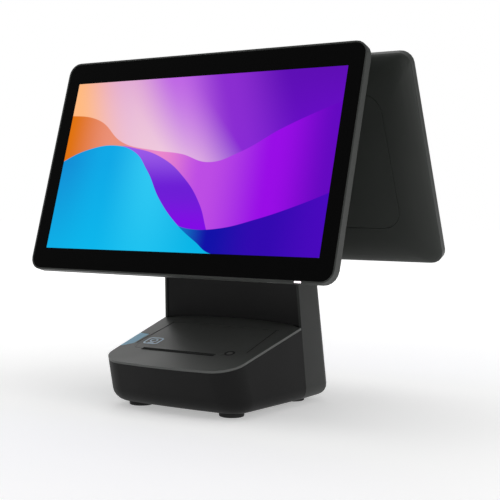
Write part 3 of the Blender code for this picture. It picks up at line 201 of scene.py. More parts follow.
class Shared:
    """The node groups that several finishes use. Each is made once."""

    _made: dict[str, bpy.types.NodeTree] = {}

    @classmethod
    def _group(
        cls,
        name: str,
        inputs: list[tuple[str, str, object]],
        outputs: list[tuple[str, str]],
        fill: Callable[[Graph, object, object], None],
    ) -> bpy.types.NodeTree:
        """Makes a group, or finds the one made before.

        Args:
            name: the group's name.
            inputs: each input's name, socket class and default value.
            outputs: each output's name and socket class.
            fill: builds the nodes between the group's input and output nodes.

        Returns:
            The group's node tree.
        """
        if name in cls._made:
            return cls._made[name]
        tree = bpy.data.node_groups.new(name, "ShaderNodeTree")
        for label, kind, value in inputs:
            socket = tree.interface.new_socket(label, in_out="INPUT", socket_type=kind)
            if value is not None:
                socket.default_value = value
        for label, kind in outputs:
            tree.interface.new_socket(label, in_out="OUTPUT", socket_type=kind)
        graph = Graph(tree)
        fill(graph, graph.add("NodeGroupInput").outputs, graph.add("NodeGroupOutput").inputs)
        cls._made[name] = tree
        return tree

    @classmethod
    def grain(cls) -> bpy.types.NodeTree:
        """The fine spark-erosion texture of a moulded face, with a slow drift over the whole piece."""

        def fill(g: Graph, given: object, out: object) -> None:
            """Builds the grain's nodes."""
            place = g.add("TexCoord").outputs["Object"]
            fine = g.add("TexNoise", {"Vector": place, "Scale": given["Grains per metre"], "Detail": 2.0})
            pits = g.add("TexVoronoi", {"Vector": place, "Scale": given["Grains per metre"]})
            slow = g.add("TexNoise", {"Vector": place, "Scale": 14.0, "Detail": 3.0})
            height = g.math("MULTIPLY_ADD", pits.outputs["Distance"], 0.5, fine.outputs[0])
            g.tree.links.new(height, out["Height"])
            g.tree.links.new(fine.outputs[0], out["Fleck"])
            g.tree.links.new(slow.outputs[0], out["Drift"])

        return cls._group(
            "moulded_grain",
            [("Grains per metre", "NodeSocketFloat", 1600.0)],
            [("Height", "NodeSocketFloat"), ("Fleck", "NodeSocketFloat"), ("Drift", "NodeSocketFloat")],
            fill,
        )

    @classmethod
    def edge_highlight_and_wear(cls) -> bpy.types.NodeTree:
        """A mask that is 1 along convex edges, broken up where hands polish them; the finishes use it for
        painted edge highlights as well as polish.
        """

        def fill(g: Graph, given: object, out: object) -> None:
            """Builds the nodes of the edge mask for painted highlights and polish."""
            rounded = g.add("Bevel", {"Radius": given["Width"]}, samples=4).outputs[0]
            flat = g.add("NewGeometry").outputs["Normal"]
            facing = g.add("VectorMath", {0: rounded, 1: flat}, operation="DOT_PRODUCT").outputs["Value"]
            edge = g.math("MULTIPLY", g.math("SUBTRACT", 1.0, facing), 6.0, clamp=True)
            place = g.add("TexCoord").outputs["Object"]
            patches = g.add("TexNoise", {"Vector": place, "Scale": 60.0, "Detail": 4.0}).outputs[0]
            broken = g.math("MULTIPLY", edge, g.math("MULTIPLY_ADD", patches, 1.2, -0.1, clamp=True))
            g.tree.links.new(broken, out["Mask"])

        width = ("Width", "NodeSocketFloat", 0.0006)
        return cls._group("edge_highlight_and_wear", [width], [("Mask", "NodeSocketFloat")], fill)

    @classmethod
    def handling(cls) -> bpy.types.NodeTree:
        """Soft smears and settled dust, as a mask for roughness and colour."""

        def fill(g: Graph, given: object, out: object) -> None:
            """Builds the handling mask's nodes."""
            place = g.add("TexCoord").outputs["Object"]
            settings = {"Vector": place, "Scale": 9.0, "Detail": 5.0, "Distortion": 0.6}
            cloud = g.add("TexNoise", settings).outputs[0]
            g.tree.links.new(g.add("MapRange", {0: cloud, 1: 0.42, 2: 0.75}).outputs[0], out["Smear"])
            up = g.add("SeparateXYZ", {0: g.add("NewGeometry").outputs["Normal"]}).outputs["Z"]
            specks = g.add("TexNoise", {"Vector": place, "Scale": 900.0, "Detail": 1.0}).outputs[0]
            lying = g.math("MULTIPLY", g.math("POWER", g.math("MAXIMUM", up, 0.0), 3.0), specks)
            g.tree.links.new(lying, out["Dust"])

        return cls._group("handling", [], [("Smear", "NodeSocketFloat"), ("Dust", "NodeSocketFloat")], fill)


@dataclass(frozen=True)
class Finish:
    """What every finish has: a name and a Principled surface."""

    name: str
    colour: Colour
    roughness: float = 0.4

    def material(self) -> bpy.types.Material:
        """Makes the material, or finds the one made before.

        Returns:
            The finished material.
        """
        found = bpy.data.materials.get(self.name)
        if found:
            return found
        made = bpy.data.materials.new(self.name)
        made.use_nodes = True
        made.node_tree.nodes.clear()
        graph = Graph(made.node_tree)
        shader = graph.add("BsdfPrincipled", {"Base Color": (*self.colour, 1), "Roughness": self.roughness})
        self.dress(graph, shader)
        graph.add("OutputMaterial", {"Surface": shader.outputs[0]})
        made.diffuse_color = (*self.colour, 1)
        return made

    def dress(self, graph: Graph, shader: bpy.types.Node) -> None:
        """Adds the finish's own nodes; the plain one adds none.

        Args:
            graph: the material's tree.
            shader: its Principled node.
        """

    def bump(self, graph: Graph, shader: bpy.types.Node, height: Socket, depth: float) -> None:
        """Links a height to the surface normal.

        Args:
            graph: the material's tree.
            shader: its Principled node.
            height: the height, about 0 to 1.
            depth: how far 1 stands up, in metres.
        """
        node = graph.add("Bump", {"Height": height, "Distance": depth, "Strength": 1.0})
        graph.tree.links.new(node.outputs[0], shader.inputs["Normal"])


@dataclass(frozen=True)
class MouldedPlastic(Finish):
    """Injection-moulded plastic with a fine texture, painted highlights and slight polish along its edges,
    and a little dust.
    """

    grains: float = 1600.0
    depth: float = 0.00003
    highlight_strength: float = 0.5
    dust: float = 0.05
    specular: float = 0.5

    def dress(self, graph: Graph, shader: bpy.types.Node) -> None:
        """Adds grain, drift, painted edge highlights with polished edges, and dust.

        Args:
            graph: the material's tree.
            shader: its Principled node.
        """
        grain = graph.add("Group", node_tree=Shared.grain())
        grain.inputs["Grains per metre"].default_value = self.grains
        highlight_and_wear = graph.add("Group", node_tree=Shared.edge_highlight_and_wear()).outputs["Mask"]
        hands = graph.add("Group", node_tree=Shared.handling())
        base = graph.mix(grain.outputs["Drift"], brighter(self.colour, 0.86), brighter(self.colour, 1.14))
        fleck = graph.math("MULTIPLY", grain.outputs["Fleck"], 0.35)
        base = graph.mix(fleck, base, brighter(self.colour, 1.3))
        # painted highlight: convex edges are lightened in the colour; the same mask lowers roughness there as
        # polish
        painted_highlight_share = graph.math("MULTIPLY", highlight_and_wear, self.highlight_strength)
        base = graph.mix(painted_highlight_share, base, brighter(self.colour, 2.2, 0.012))
        dusty = graph.math("MULTIPLY", hands.outputs["Dust"], self.dust)
        base = graph.mix(dusty, base, (0.35, 0.34, 0.32))
        graph.tree.links.new(base, shader.inputs["Base Color"])
        rough = graph.math("MULTIPLY_ADD", grain.outputs["Fleck"], 0.12, self.roughness - 0.06)
        rough = graph.math("MULTIPLY_ADD", hands.outputs["Smear"], 0.06, rough)
        rough = graph.math("MULTIPLY_ADD", highlight_and_wear, -0.1, rough, clamp=True)
        graph.tree.links.new(rough, shader.inputs["Roughness"])
        shader.inputs["Specular IOR Level"].default_value = self.specular
        self.bump(graph, shader, grain.outputs["Height"], self.depth)


@dataclass(frozen=True)
class Metal(Finish):
    """Bare metal, drawn along one direction or left as cast."""

    streak: tuple[float, float, float] = (40.0, 2600.0, 2600.0)
    depth: float = 0.00001

    def dress(self, graph: Graph, shader: bpy.types.Node) -> None:
        """Adds the drawn lines, tarnish and painted highlights along the edges.

        Args:
            graph: the material's tree.
            shader: its Principled node.
        """
        place = graph.add("TexCoord").outputs["Object"]
        along = graph.add("Mapping", {"Vector": place, "Scale": self.streak}).outputs[0]
        lines = graph.add("TexNoise", {"Vector": along, "Scale": 1.0, "Detail": 3.0}).outputs[0]
        cloud = graph.add("TexNoise", {"Vector": place, "Scale": 45.0, "Detail": 4.0}).outputs[0]
        highlight_and_wear = graph.add("Group", node_tree=Shared.edge_highlight_and_wear()).outputs["Mask"]
        base = graph.mix(cloud, brighter(self.colour, 0.8), self.colour)
        # painted highlight: convex edges are lightened in the colour
        base = graph.mix(graph.math("MULTIPLY", highlight_and_wear, 0.6), base, brighter(self.colour, 1.3))
        graph.tree.links.new(base, shader.inputs["Base Color"])
        shader.inputs["Metallic"].default_value = 1.0
        rough = graph.math("MULTIPLY_ADD", lines, 0.2, self.roughness - 0.1, clamp=True)
        graph.tree.links.new(rough, shader.inputs["Roughness"])
        self.bump(graph, shader, lines, self.depth)


@dataclass(frozen=True)
class SoftRubber(Finish):
    """Matt rubber with a ground surface."""

    def dress(self, graph: Graph, shader: bpy.types.Node) -> None:
        """Adds the ground texture and a bloom of dust.

        Args:
            graph: the material's tree.
            shader: its Principled node.
        """
        place = graph.add("TexCoord").outputs["Object"]
        ground = graph.add("TexNoise", {"Vector": place, "Scale": 2400.0, "Detail": 4.0}).outputs[0]
        cloud = graph.add("TexNoise", {"Vector": place, "Scale": 50.0, "Detail": 3.0}).outputs[0]
        base = graph.mix(cloud, self.colour, brighter(self.colour, 1.8, 0.004))
        graph.tree.links.new(base, shader.inputs["Base Color"])
        rough = graph.math("MULTIPLY_ADD", ground, 0.2, self.roughness - 0.1, clamp=True)
        graph.tree.links.new(rough, shader.inputs["Roughness"])
        self.bump(graph, shader, ground, 0.00005)


@dataclass(frozen=True)
class CircuitBoard(Finish):
    """Solder-masked board with copper tracks under the mask."""

    def dress(self, graph: Graph, shader: bpy.types.Node) -> None:
        """Adds tracks, pads and the glassy mask.

        Args:
            graph: the material's tree.
            shader: its Principled node.
        """
        place = graph.add("TexCoord").outputs["Object"]
        tracks = graph.add("TexBrick", {"Vector": place, "Scale": 160.0, "Mortar Size": 0.05}).outputs["Fac"]
        pads = graph.add("TexVoronoi", {"Vector": place, "Scale": 330.0}).outputs["Distance"]
        dots = graph.math("LESS_THAN", pads, 0.16)
        base = graph.mix(tracks, self.colour, brighter(self.colour, 1.9))
        base = graph.mix(dots, base, (0.55, 0.5, 0.32))
        graph.tree.links.new(base, shader.inputs["Base Color"])
        graph.tree.links.new(graph.math("MULTIPLY", dots, 0.9), shader.inputs["Metallic"])
        self.bump(graph, shader, tracks, 0.00003)


@dataclass(frozen=True)
class Lamp(Finish):
    """A diffuser lit from behind, brighter over its light source."""

    strength: float = 4.0
    axis: str = "X"
    pitch: float = 0.012

    def dress(self, graph: Graph, shader: bpy.types.Node) -> None:
        """Adds the glow with its faint hot spots.

        Args:
            graph: the material's tree.
            shader: its Principled node.
        """
        place = graph.add("SeparateXYZ", {0: graph.add("TexCoord").outputs["Object"]}).outputs[self.axis]
        wave = graph.math("COSINE", graph.math("MULTIPLY", place, 2 * math.pi / self.pitch))
        share = graph.math("MULTIPLY_ADD", wave, 0.12, 0.88)
        glow = graph.mix(share, (0, 0, 0), self.colour)
        graph.tree.links.new(glow, shader.inputs["Emission Color"])
        shader.inputs["Emission Strength"].default_value = self.strength


def stops(*pairs: tuple[float, str]) -> Stops:
    """Turns places and colour codes into the stops of a ramp."""
    return [(at, linear(code)) for at, code in pairs]


class PictureColours:
    """The colours of the screens' picture, as stops along each band."""

    SKY = stops(
        (0.0, "ffae62"), (0.2, "ffb87a"), (0.42, "e2acd4"), (0.6, "be66e4"), (0.78, "8a2bd0"), (1.0, "5c06b4")
    )
    BAND = stops(
        (0.0, "e07206"), (0.2, "ea9078"), (0.38, "ea86cc"), (0.56, "bc4ce4"), (0.8, "9804e6"), (1.0, "6200c0")
    )
    FOLD = stops((0.1, "8200e6"), (0.35, "6c1ad6"), (0.6, "9a5ae8"))
    DEEP = stops((0.5, "0a72c4"), (0.62, "0a0aa8"), (0.8, "3000b0"), (1.0, "4600bc"))
    SEA = stops((0.0, "0a8fd6"), (0.18, "06a8e6"), (0.38, "2fc8f2"), (0.6, "00a6da"))
    MIST = linear("fbdfe0")
    DUSK = linear("7a00ea")
    SHALLOW = linear("00bdee")


class PictureLines:
    """The upper edge of each band of the screens' picture, as places across and up the panel."""

    BAND: Line = (
        (0.0, 0.8), (0.11, 0.77), (0.24, 0.62), (0.36, 0.575), (0.47, 0.55),
        (0.58, 0.5), (0.68, 0.55), (0.82, 0.68), (1.0, 0.81),
    )
    FOLD: Line = (
        (0.0, 0.4), (0.2, 0.6), (0.3, 0.585), (0.4, 0.53), (0.5, 0.41),
        (0.57, 0.27), (0.62, 0.1), (0.66, 0.0), (1.0, 0.0),
    )
    DEEP: Line = (
        (0.0, 0.2), (0.45, 0.17), (0.55, 0.13), (0.65, 0.135), (0.78, 0.19), (0.9, 0.26), (1.0, 0.33),
    )
    SEA: Line = (
        (0.0, 0.52), (0.1, 0.59), (0.2, 0.61), (0.28, 0.575), (0.35, 0.46),
        (0.42, 0.29), (0.5, 0.155), (0.58, 0.06), (0.64, 0.0), (1.0, 0.0),
    )


@dataclass(frozen=True)
class LitGlass(Finish):
    """Cover glass over a lit panel: a black printed border, and colour waves inside the active area."""

    centre: tuple[float, float, float] = (0.0, 0.0, 0.0)
    turn: tuple[float, float, float] = (0.0, 0.0, 0.0)
    half: tuple[float, float] = (0.17, 0.097)
    strength: float = 1.0

    def dress(self, graph: Graph, shader: bpy.types.Node) -> None:
        """Adds the picture and the border's edge.

        Args:
            graph: the material's tree.
            shader: its Principled node.
        """
        place = graph.add("TexCoord").outputs["Object"]
        size = (2 * self.half[0], 2 * self.half[1], 1.0)
        flat = graph.add(
            "Mapping",
            {"Vector": place, "Location": self.centre, "Rotation": self.turn, "Scale": size},
            vector_type="TEXTURE",
        )
        parts = graph.add("SeparateXYZ", {0: flat.outputs[0]}).outputs
        across = graph.math("ADD", parts["X"], 0.5)
        up = graph.math("ADD", parts["Y"], 0.5)
        front = graph.math("GREATER_THAN", parts["Z"], -0.0003)
        within_sides = graph.math("LESS_THAN", graph.math("ABSOLUTE", parts["X"]), 0.5)
        within_height = graph.math("LESS_THAN", graph.math("ABSOLUTE", parts["Y"]), 0.5)
        inside = graph.math("MULTIPLY", within_sides, within_height)
        lit = graph.math("MULTIPLY", inside, front)
        picture = self.waves(graph, across, up)
        graph.tree.links.new(graph.mix(lit, (0, 0, 0), picture), shader.inputs["Emission Color"])
        shader.inputs["Emission Strength"].default_value = self.strength
        smear = graph.add("Group", node_tree=Shared.handling()).outputs["Smear"]
        rough = graph.math("MULTIPLY_ADD", smear, 0.05, self.roughness)
        graph.tree.links.new(rough, shader.inputs["Roughness"])
        shader.inputs["Specular IOR Level"].default_value = 0.12
        shader.inputs["IOR"].default_value = 1.5

    @staticmethod
    def below(graph: Graph, across: Socket, up: Socket, line: Line) -> Socket:
        """Masks what lies under a drawn line.

        Args:
            graph: the material's tree.
            across: the place across the panel, from 0 to 1.
            up: the place up the panel, from 0 to 1.
            line: the line's points, left to right.

        Returns:
            1 under the line and 0 over it.
        """
        curve = graph.add("FloatCurve", {"Value": across})
        points = curve.mapping.curves[0].points
        while len(points) < len(line):
            points.new(0.5, 0.5)
        for point, place in zip(points, line):
            point.location = place
        curve.mapping.update()
        gap = graph.math("SUBTRACT", curve.outputs[0], up)
        return graph.math("MULTIPLY_ADD", gap, 300.0, 0.5, clamp=True)

    def waves(self, graph: Graph, across: Socket, up: Socket) -> Socket:
        """Paints overlapping bands of soft colour.

        Args:
            graph: the material's tree.
            across: the place across the panel, from 0 to 1.
            up: the place up the panel, from 0 to 1.

        Returns:
            The picture's colour.
        """
        slant = graph.math("MULTIPLY_ADD", up, 0.22, graph.math("MULTIPLY", across, 0.95))
        sky = graph.ramp(slant, PictureColours.SKY)
        haze = graph.math("MULTIPLY", graph.math("SUBTRACT", 1.0, up), 1.5, clamp=True)
        ridge = graph.math("MULTIPLY_ADD", up, -0.5, 0.68)
        away = graph.math("ABSOLUTE", graph.math("SUBTRACT", across, ridge))
        near = graph.math("SUBTRACT", 1.0, graph.math("MULTIPLY", away, 3.4), clamp=True)
        sky = graph.mix(graph.math("MULTIPLY", near, haze), sky, PictureColours.MIST)
        late = graph.math("SUBTRACT", across, 0.55, clamp=True)
        dusk = graph.math("MULTIPLY", late, 1.6, clamp=True)
        sky = graph.mix(graph.math("MULTIPLY", dusk, haze), sky, PictureColours.DUSK)
        sea = graph.ramp(across, PictureColours.SEA)
        depth = graph.math("SUBTRACT", 0.5, up, clamp=True)
        sea = graph.mix(graph.math("MULTIPLY", depth, 1.3), sea, PictureColours.SHALLOW)
        layers = (
            (graph.ramp(across, PictureColours.BAND), PictureLines.BAND),
            (graph.ramp(up, PictureColours.FOLD), PictureLines.FOLD),
            (graph.ramp(across, PictureColours.DEEP), PictureLines.DEEP),
            (sea, PictureLines.SEA),
        )
        picture = sky
        for colour, line in layers:
            picture = graph.mix(self.below(graph, across, up, line), picture, colour)
        return picture


@dataclass(frozen=True)
class PaleFloor(Finish):
    """The studio's evenly lit pale floor."""

    def dress(self, graph: Graph, shader: bpy.types.Node) -> None:
        """Lights the floor a little from within, and more towards its far edges.

        Args:
            graph: the material's tree.
            shader: its Principled node.
        """
        place = graph.add("TexCoord").outputs["Object"]
        far = graph.add("VectorMath", {0: place}, operation="LENGTH").outputs["Value"]
        share = graph.add("MapRange", {0: far, 1: 0.3, 2: 2.0, 3: 0.4, 4: 0.86}).outputs[0]
        graph.tree.links.new(graph.mix(share, (0, 0, 0), (1, 1, 1)), shader.inputs["Emission Color"])
        shader.inputs["Emission Strength"].default_value = 1.0
        shader.inputs["Specular IOR Level"].default_value = 0.0


class Palette:
    """The finishes of this terminal, by the part of it that wears them."""

    CASING = MouldedPlastic("casing_black", linear("080808"), 0.5, specular=0.2)
    DECK = MouldedPlastic("deck_satin", linear("4a4c4a"), 0.42, grains=1300.0, specular=0.5)
    SATIN = MouldedPlastic("column_satin", linear("232523"), 0.48, specular=0.3)
    PANEL = MouldedPlastic("panel_black", linear("0b0b0b"), 0.48, specular=0.2)
    RIM = MouldedPlastic("rim_grey", linear("383a38"), 0.42, depth=0.00002, specular=0.35)
    BACK = MouldedPlastic("back_charcoal", linear("272a27"), 0.5, specular=0.3)
    BUTTON = MouldedPlastic("button_grey", linear("666765"), 0.34, depth=0.00001)
    BLUE = MouldedPlastic("tab_blue", linear("92d0f4"), 0.42, highlight_strength=0.1, specular=0.3)
    SOCKET = MouldedPlastic("socket_black", linear("101010"), 0.45)
    GEAR = MouldedPlastic("acetal_white", linear("d8d8d0"), 0.35, highlight_strength=0.1)
    # painted shade: flat black that stands for the shade in the lid's seam, the paper slot and round the feed
    # button
    GAP_SHADE = MouldedPlastic("gap_shade_black", linear("050505"), 0.8, highlight_strength=0.0, dust=0.0)
    RUBBER = SoftRubber("rubber_black", linear("141414"), 0.75)
    STEEL = Metal("drawn_steel", (0.5, 0.5, 0.5), 0.32)
    CAST = Metal("cast_zinc", (0.3, 0.3, 0.31), 0.48, streak=(500.0, 500.0, 500.0), depth=0.00004)
    BLADE = Metal("ground_blade", (0.66, 0.66, 0.67), 0.2)
    CONTACT = Metal("gold_contact", (0.85, 0.6, 0.22), 0.22)
    BOARD = CircuitBoard("board_green", linear("0e4a26"), 0.3)
    TONGUE = MouldedPlastic("tongue_blue", linear("1f4f9c"), 0.4, highlight_strength=0.1)
    LCD = MouldedPlastic("panel_frame", linear("6a6c6e"), 0.35)
    STATUS = Lamp("status_glow", linear("fff0f8"), 0.3, strength=3.0)
    STRIP = Lamp("strip_glow", linear("c8dcff"), 0.3, strength=2.2)
    INK = MouldedPlastic("mark_pale", linear("c4dcf4"), 0.4, highlight_strength=0.0)


SLOT_FINISH: dict[str, Finish] = {
    "casing": Palette.CASING, "deck": Palette.DECK, "satin": Palette.SATIN, "panel": Palette.PANEL,
    "rim": Palette.RIM, "back": Palette.BACK, "rubber": Palette.RUBBER, "steel": Palette.STEEL,
    "cast": Palette.CAST, "blade": Palette.BLADE, "gear": Palette.GEAR, "board": Palette.BOARD,
    "socket": Palette.SOCKET, "blue": Palette.BLUE, "button": Palette.BUTTON, "lcd": Palette.LCD,
    "light": Palette.STRIP, "glass": Palette.GAP_SHADE,
}


class Bench:
    """Starts, shapes and finishes meshes the way they are modelled by hand."""

    @staticmethod
    def clear() -> None:
        """Leaves edit mode and selects nothing."""
        if bpy.context.object and bpy.context.object.mode != "OBJECT":
            bpy.ops.object.mode_set(mode="OBJECT")
        bpy.ops.object.select_all(action="DESELECT")

    @staticmethod
    def only(piece: Piece) -> None:
        """Makes one piece the selected and active one."""
        Bench.clear()
        piece.select_set(True)
        bpy.context.view_layer.objects.active = piece

    @staticmethod
    def block(name: str, centre: Point, size: Point) -> Piece:
        """Starts a piece from a box.

        Args:
            name: the piece's name.
            centre: the middle of the box.
            size: its three sides.

        Returns:
            The new piece.
        """
        Bench.clear()
        bpy.ops.mesh.primitive_cube_add(size=1, location=centre, scale=size)
        return Bench._started(name)

    @staticmethod
    def disc(name: str, centre: Point, radius: float, depth: float, sides: int) -> Piece:
        """Starts a piece from an upright cylinder.

        Args:
            name: the piece's name.
            centre: the middle of the cylinder.
            radius: its radius.
            depth: its height.
            sides: how many sides it has.

        Returns:
            The new piece.
        """
        Bench.clear()
        bpy.ops.mesh.primitive_cylinder_add(vertices=sides, radius=radius, depth=depth, location=centre)
        return Bench._started(name)

    @staticmethod
    def _started(name: str) -> Piece:
        """Names the new primitive and applies its place."""
        piece = bpy.context.object
        piece.name = name
        piece.data.name = name
        bpy.ops.object.transform_apply(location=True, rotation=True, scale=True)
        return piece

    @staticmethod
    def faces(piece: Piece, wanted: Callable[[bmesh.types.BMFace], bool]) -> None:
        """Opens edit mode with the wanted faces selected.

        Args:
            piece: the piece to edit.
            wanted: says whether a face is one of them.
        """
        if bpy.context.object is not piece or piece.mode != "EDIT":
            Bench.only(piece)
            bpy.ops.object.mode_set(mode="EDIT")
        bpy.ops.mesh.select_mode(type="FACE")
        bpy.ops.mesh.select_all(action="DESELECT")
        shape = bmesh.from_edit_mesh(piece.data)
        for face in shape.faces:
            face.select_set(wanted(face))
        bmesh.update_edit_mesh(piece.data)

    @staticmethod
    def edges(piece: Piece, wanted: Callable[[bmesh.types.BMEdge], bool]) -> None:
        """Opens edit mode with the wanted edges selected.

        Args:
            piece: the piece to edit.
            wanted: says whether an edge is one of them.
        """
        if bpy.context.object is not piece or piece.mode != "EDIT":
            Bench.only(piece)
            bpy.ops.object.mode_set(mode="EDIT")
        bpy.ops.mesh.select_mode(type="EDGE")
        bpy.ops.mesh.select_all(action="DESELECT")
        shape = bmesh.from_edit_mesh(piece.data)
        for edge in shape.edges:
            edge.select_set(wanted(edge))
        bmesh.update_edit_mesh(piece.data)

    @staticmethod
    def copy(piece: Piece, name: str, move: Vector) -> Piece:
        """Copies a piece with a mesh of its own.

        Args:
            piece: the piece to copy.
            name: the copy's name.
            move: how far the copy stands from the original.

        Returns:
            The copy.
        """
        twin = bpy.data.objects.new(name, piece.data.copy())
        twin.data.name = name
        twin.data.transform(Matrix.Translation(move))
        bpy.context.scene.collection.objects.link(twin)
        return twin

    @staticmethod
    def round_corners(piece: Piece, radius: float, segments: int = 6) -> None:
        """Rounds a block's four upright edges.

        Args:
            piece: the block.
            radius: the corners' radius.
            segments: how many faces round each corner.
        """
        Bench.edges(piece, lambda e: abs((e.verts[0].co - e.verts[1].co).normalized().z) > 0.9)
        bpy.ops.mesh.bevel(offset=radius, segments=segments, affect="EDGES")
        bpy.ops.object.mode_set(mode="OBJECT")

    @staticmethod
    def open_through(piece: Piece, wall: float) -> None:
        """Turns a flat piece into a ring by joining its inset top and bottom.

        Args:
            piece: the flat piece.
            wall: the ring's width.
        """
        Bench.faces(piece, lambda f: abs(f.normal.z) > 0.9 and len(f.verts) > 3)
        bpy.ops.mesh.inset(thickness=wall, use_boundary=True)
        bpy.ops.mesh.bridge_edge_loops()
        bpy.ops.object.mode_set(mode="OBJECT")

    @staticmethod
    def bevel(piece: Piece, width: float, segments: int = 2, angle: float = 35.0) -> None:
        """Rounds the edges sharper than an angle, and applies it.

        Args:
            piece: the piece.
            width: the rounding's width.
            segments: how many faces round each edge.
            angle: the smallest turn that is rounded, in degrees.
        """
        Bench.only(piece)
        rounding = piece.modifiers.new("rounding", "BEVEL")
        rounding.width = width
        rounding.segments = segments
        rounding.limit_method = "ANGLE"
        rounding.angle_limit = math.radians(angle)
        bpy.ops.object.modifier_apply(modifier=rounding.name)

    @staticmethod
    def cut(piece: Piece, cutter: Piece) -> None:
        """Takes a cutter's shape out of a piece, and removes the cutter.

        Args:
            piece: the piece to cut.
            cutter: the shape to take out.
        """
        Bench.only(piece)
        cutting = piece.modifiers.new("cutting", "BOOLEAN")
        cutting.operation = "DIFFERENCE"
        cutting.solver = "EXACT"
        cutting.object = cutter
        bpy.ops.object.modifier_apply(modifier=cutting.name)
        bpy.data.objects.remove(cutter)

    @staticmethod
    def dish(piece: Piece, border: float, rise: float) -> None:
        """Insets a piece's top and moves it.

        Args:
            piece: the piece to shape.
            border: how far in from its edge.
            rise: how far it moves up; less than 0 is down.
        """
        Bench.faces(piece, lambda face: face.normal.z > 0.9)
        bpy.ops.mesh.inset(thickness=border)
        bpy.ops.transform.translate(value=(0, 0, rise))
        bpy.ops.object.mode_set(mode="OBJECT")

    @staticmethod
    def finish(
        piece: Piece, finish: Finish, body: str, slot: str, frame: Matrix | None = None, smooth: float = 32.0
    ) -> Piece:
        """Places, smooths and dresses a piece, and lets it ride.

        Args:
            piece: the shaped piece.
            finish: what it is dressed in.
            body: the CAD body that it moves with.
            slot: the record's slot for its finish; not used.
            frame: where its own axes stand in the row frame.
            smooth: the largest turn that is shaded smooth, in degrees.

        Returns:
            The same piece.
        """
        if frame is not None:
            piece.data.transform(frame)
        Bench.only(piece)
        bpy.ops.object.shade_smooth_by_angle(angle=math.radians(smooth))
        weighted = piece.modifiers.new("weighted", "WEIGHTED_NORMAL")
        weighted.keep_sharp = True
        bpy.ops.object.modifier_apply(modifier=weighted.name)
        piece.data.materials.clear()
        piece.data.materials.append(finish.material())
        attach(piece, body)
        log.info("%s: %d faces on %s", piece.name, len(piece.data.polygons), body)
        return piece


@dataclass
class Refined:
    """A CAD node's own shape with its triangles merged, its edges softened and its shading smoothed."""

    nodes: dict[str, Piece]
    slots: dict[str, str]
    bodies: dict[str, str]

    def shape(self, node: str, name: str) -> Piece:
        """Copies a CAD node and merges the copy's triangles into faces.

        Args:
            node: the CAD node's name.
            name: the new piece's name.

        Returns:
            The merged copy.
        """
        piece = bpy.data.objects.new(name, self.nodes[node].data.copy())
        piece.data.name = name
        bpy.context.scene.collection.objects.link(piece)
        Bench.only(piece)
        bpy.ops.object.mode_set(mode="EDIT")
        bpy.ops.mesh.select_all(action="SELECT")
        bpy.ops.mesh.remove_doubles(threshold=0.000002)
        bpy.ops.mesh.dissolve_limited(angle_limit=math.radians(0.6))
        bpy.ops.object.mode_set(mode="OBJECT")
        if piece.data.has_custom_normals:
            bpy.ops.mesh.customdata_custom_splitnormals_clear()
        return piece

    def build(self, node: str, finish: Finish | None = None, edge: float = 0.0004) -> Piece:
        """Builds the refined piece and lets it stand for its node.

        Args:
            node: the CAD node's name.
            finish: its finish, or None for its slot's.
            edge: how wide its edges are rounded; 0 leaves them.

        Returns:
            The refined piece.
        """
        piece = self.shape(node, node + "_moulded")
        if edge:
            Bench.bevel(piece, edge)
        slot = self.slots[node]
        Bench.finish(piece, finish or SLOT_FINISH[slot], self.bodies[node], slot)
        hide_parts(node)
        return piece

    def dress(self, node: str, finish: Finish | None = None) -> None:
        """Gives a CAD node that stays its finish.

        Args:
            node: the CAD node's name.
            finish: its finish, or None for its slot's.
        """
        part = self.nodes[node]
        part.data.materials.clear()
        part.data.materials.append((finish or SLOT_FINISH[self.slots[node]]).material())
        log.info("%s dressed", node)


def axes(origin: Vector, across: Vector, up: Vector) -> Matrix:
    """Builds a frame from its origin and two of its directions.

    Args:
        origin: where it stands.
        across: its X direction.
        up: its Y direction.

    Returns:
        The matrix from the frame's own axes to the row frame.
    """
    out = across.cross(up)
    frame = Matrix((across, up, out)).transposed().to_4x4()
    frame.translation = origin
    return frame


def screw(name: str, radius: float, depth: float) -> Piece:
    """Models a pan-head screw with a crossed recess, its head facing up.

    Args:
        name: the piece's name.
        radius: the head's radius.
        depth: the head's height.

    Returns:
        The shaped head at the origin, not yet finished.
    """
    head = Bench.disc(name, (0, 0, 0), radius, depth, 28)
    Bench.dish(head, radius * 0.22, depth * 0.2)
    cross = Bench.block(name + "_recess", (0, 0, depth * 0.6), (radius * 1.1, radius * 0.28, depth * 0.8))
    Bench.faces(cross, lambda f: f.normal.z < -0.9)
    bpy.ops.mesh.inset(thickness=radius * 0.06)
    bpy.ops.object.mode_set(mode="OBJECT")
    other = Bench.copy(cross, name + "_recess_2", Vector((0, 0, 0)))
    other.data.transform(Matrix.Rotation(math.pi / 2, 4, "Z"))
    Bench.cut(head, cross)
    Bench.cut(head, other)
    return head


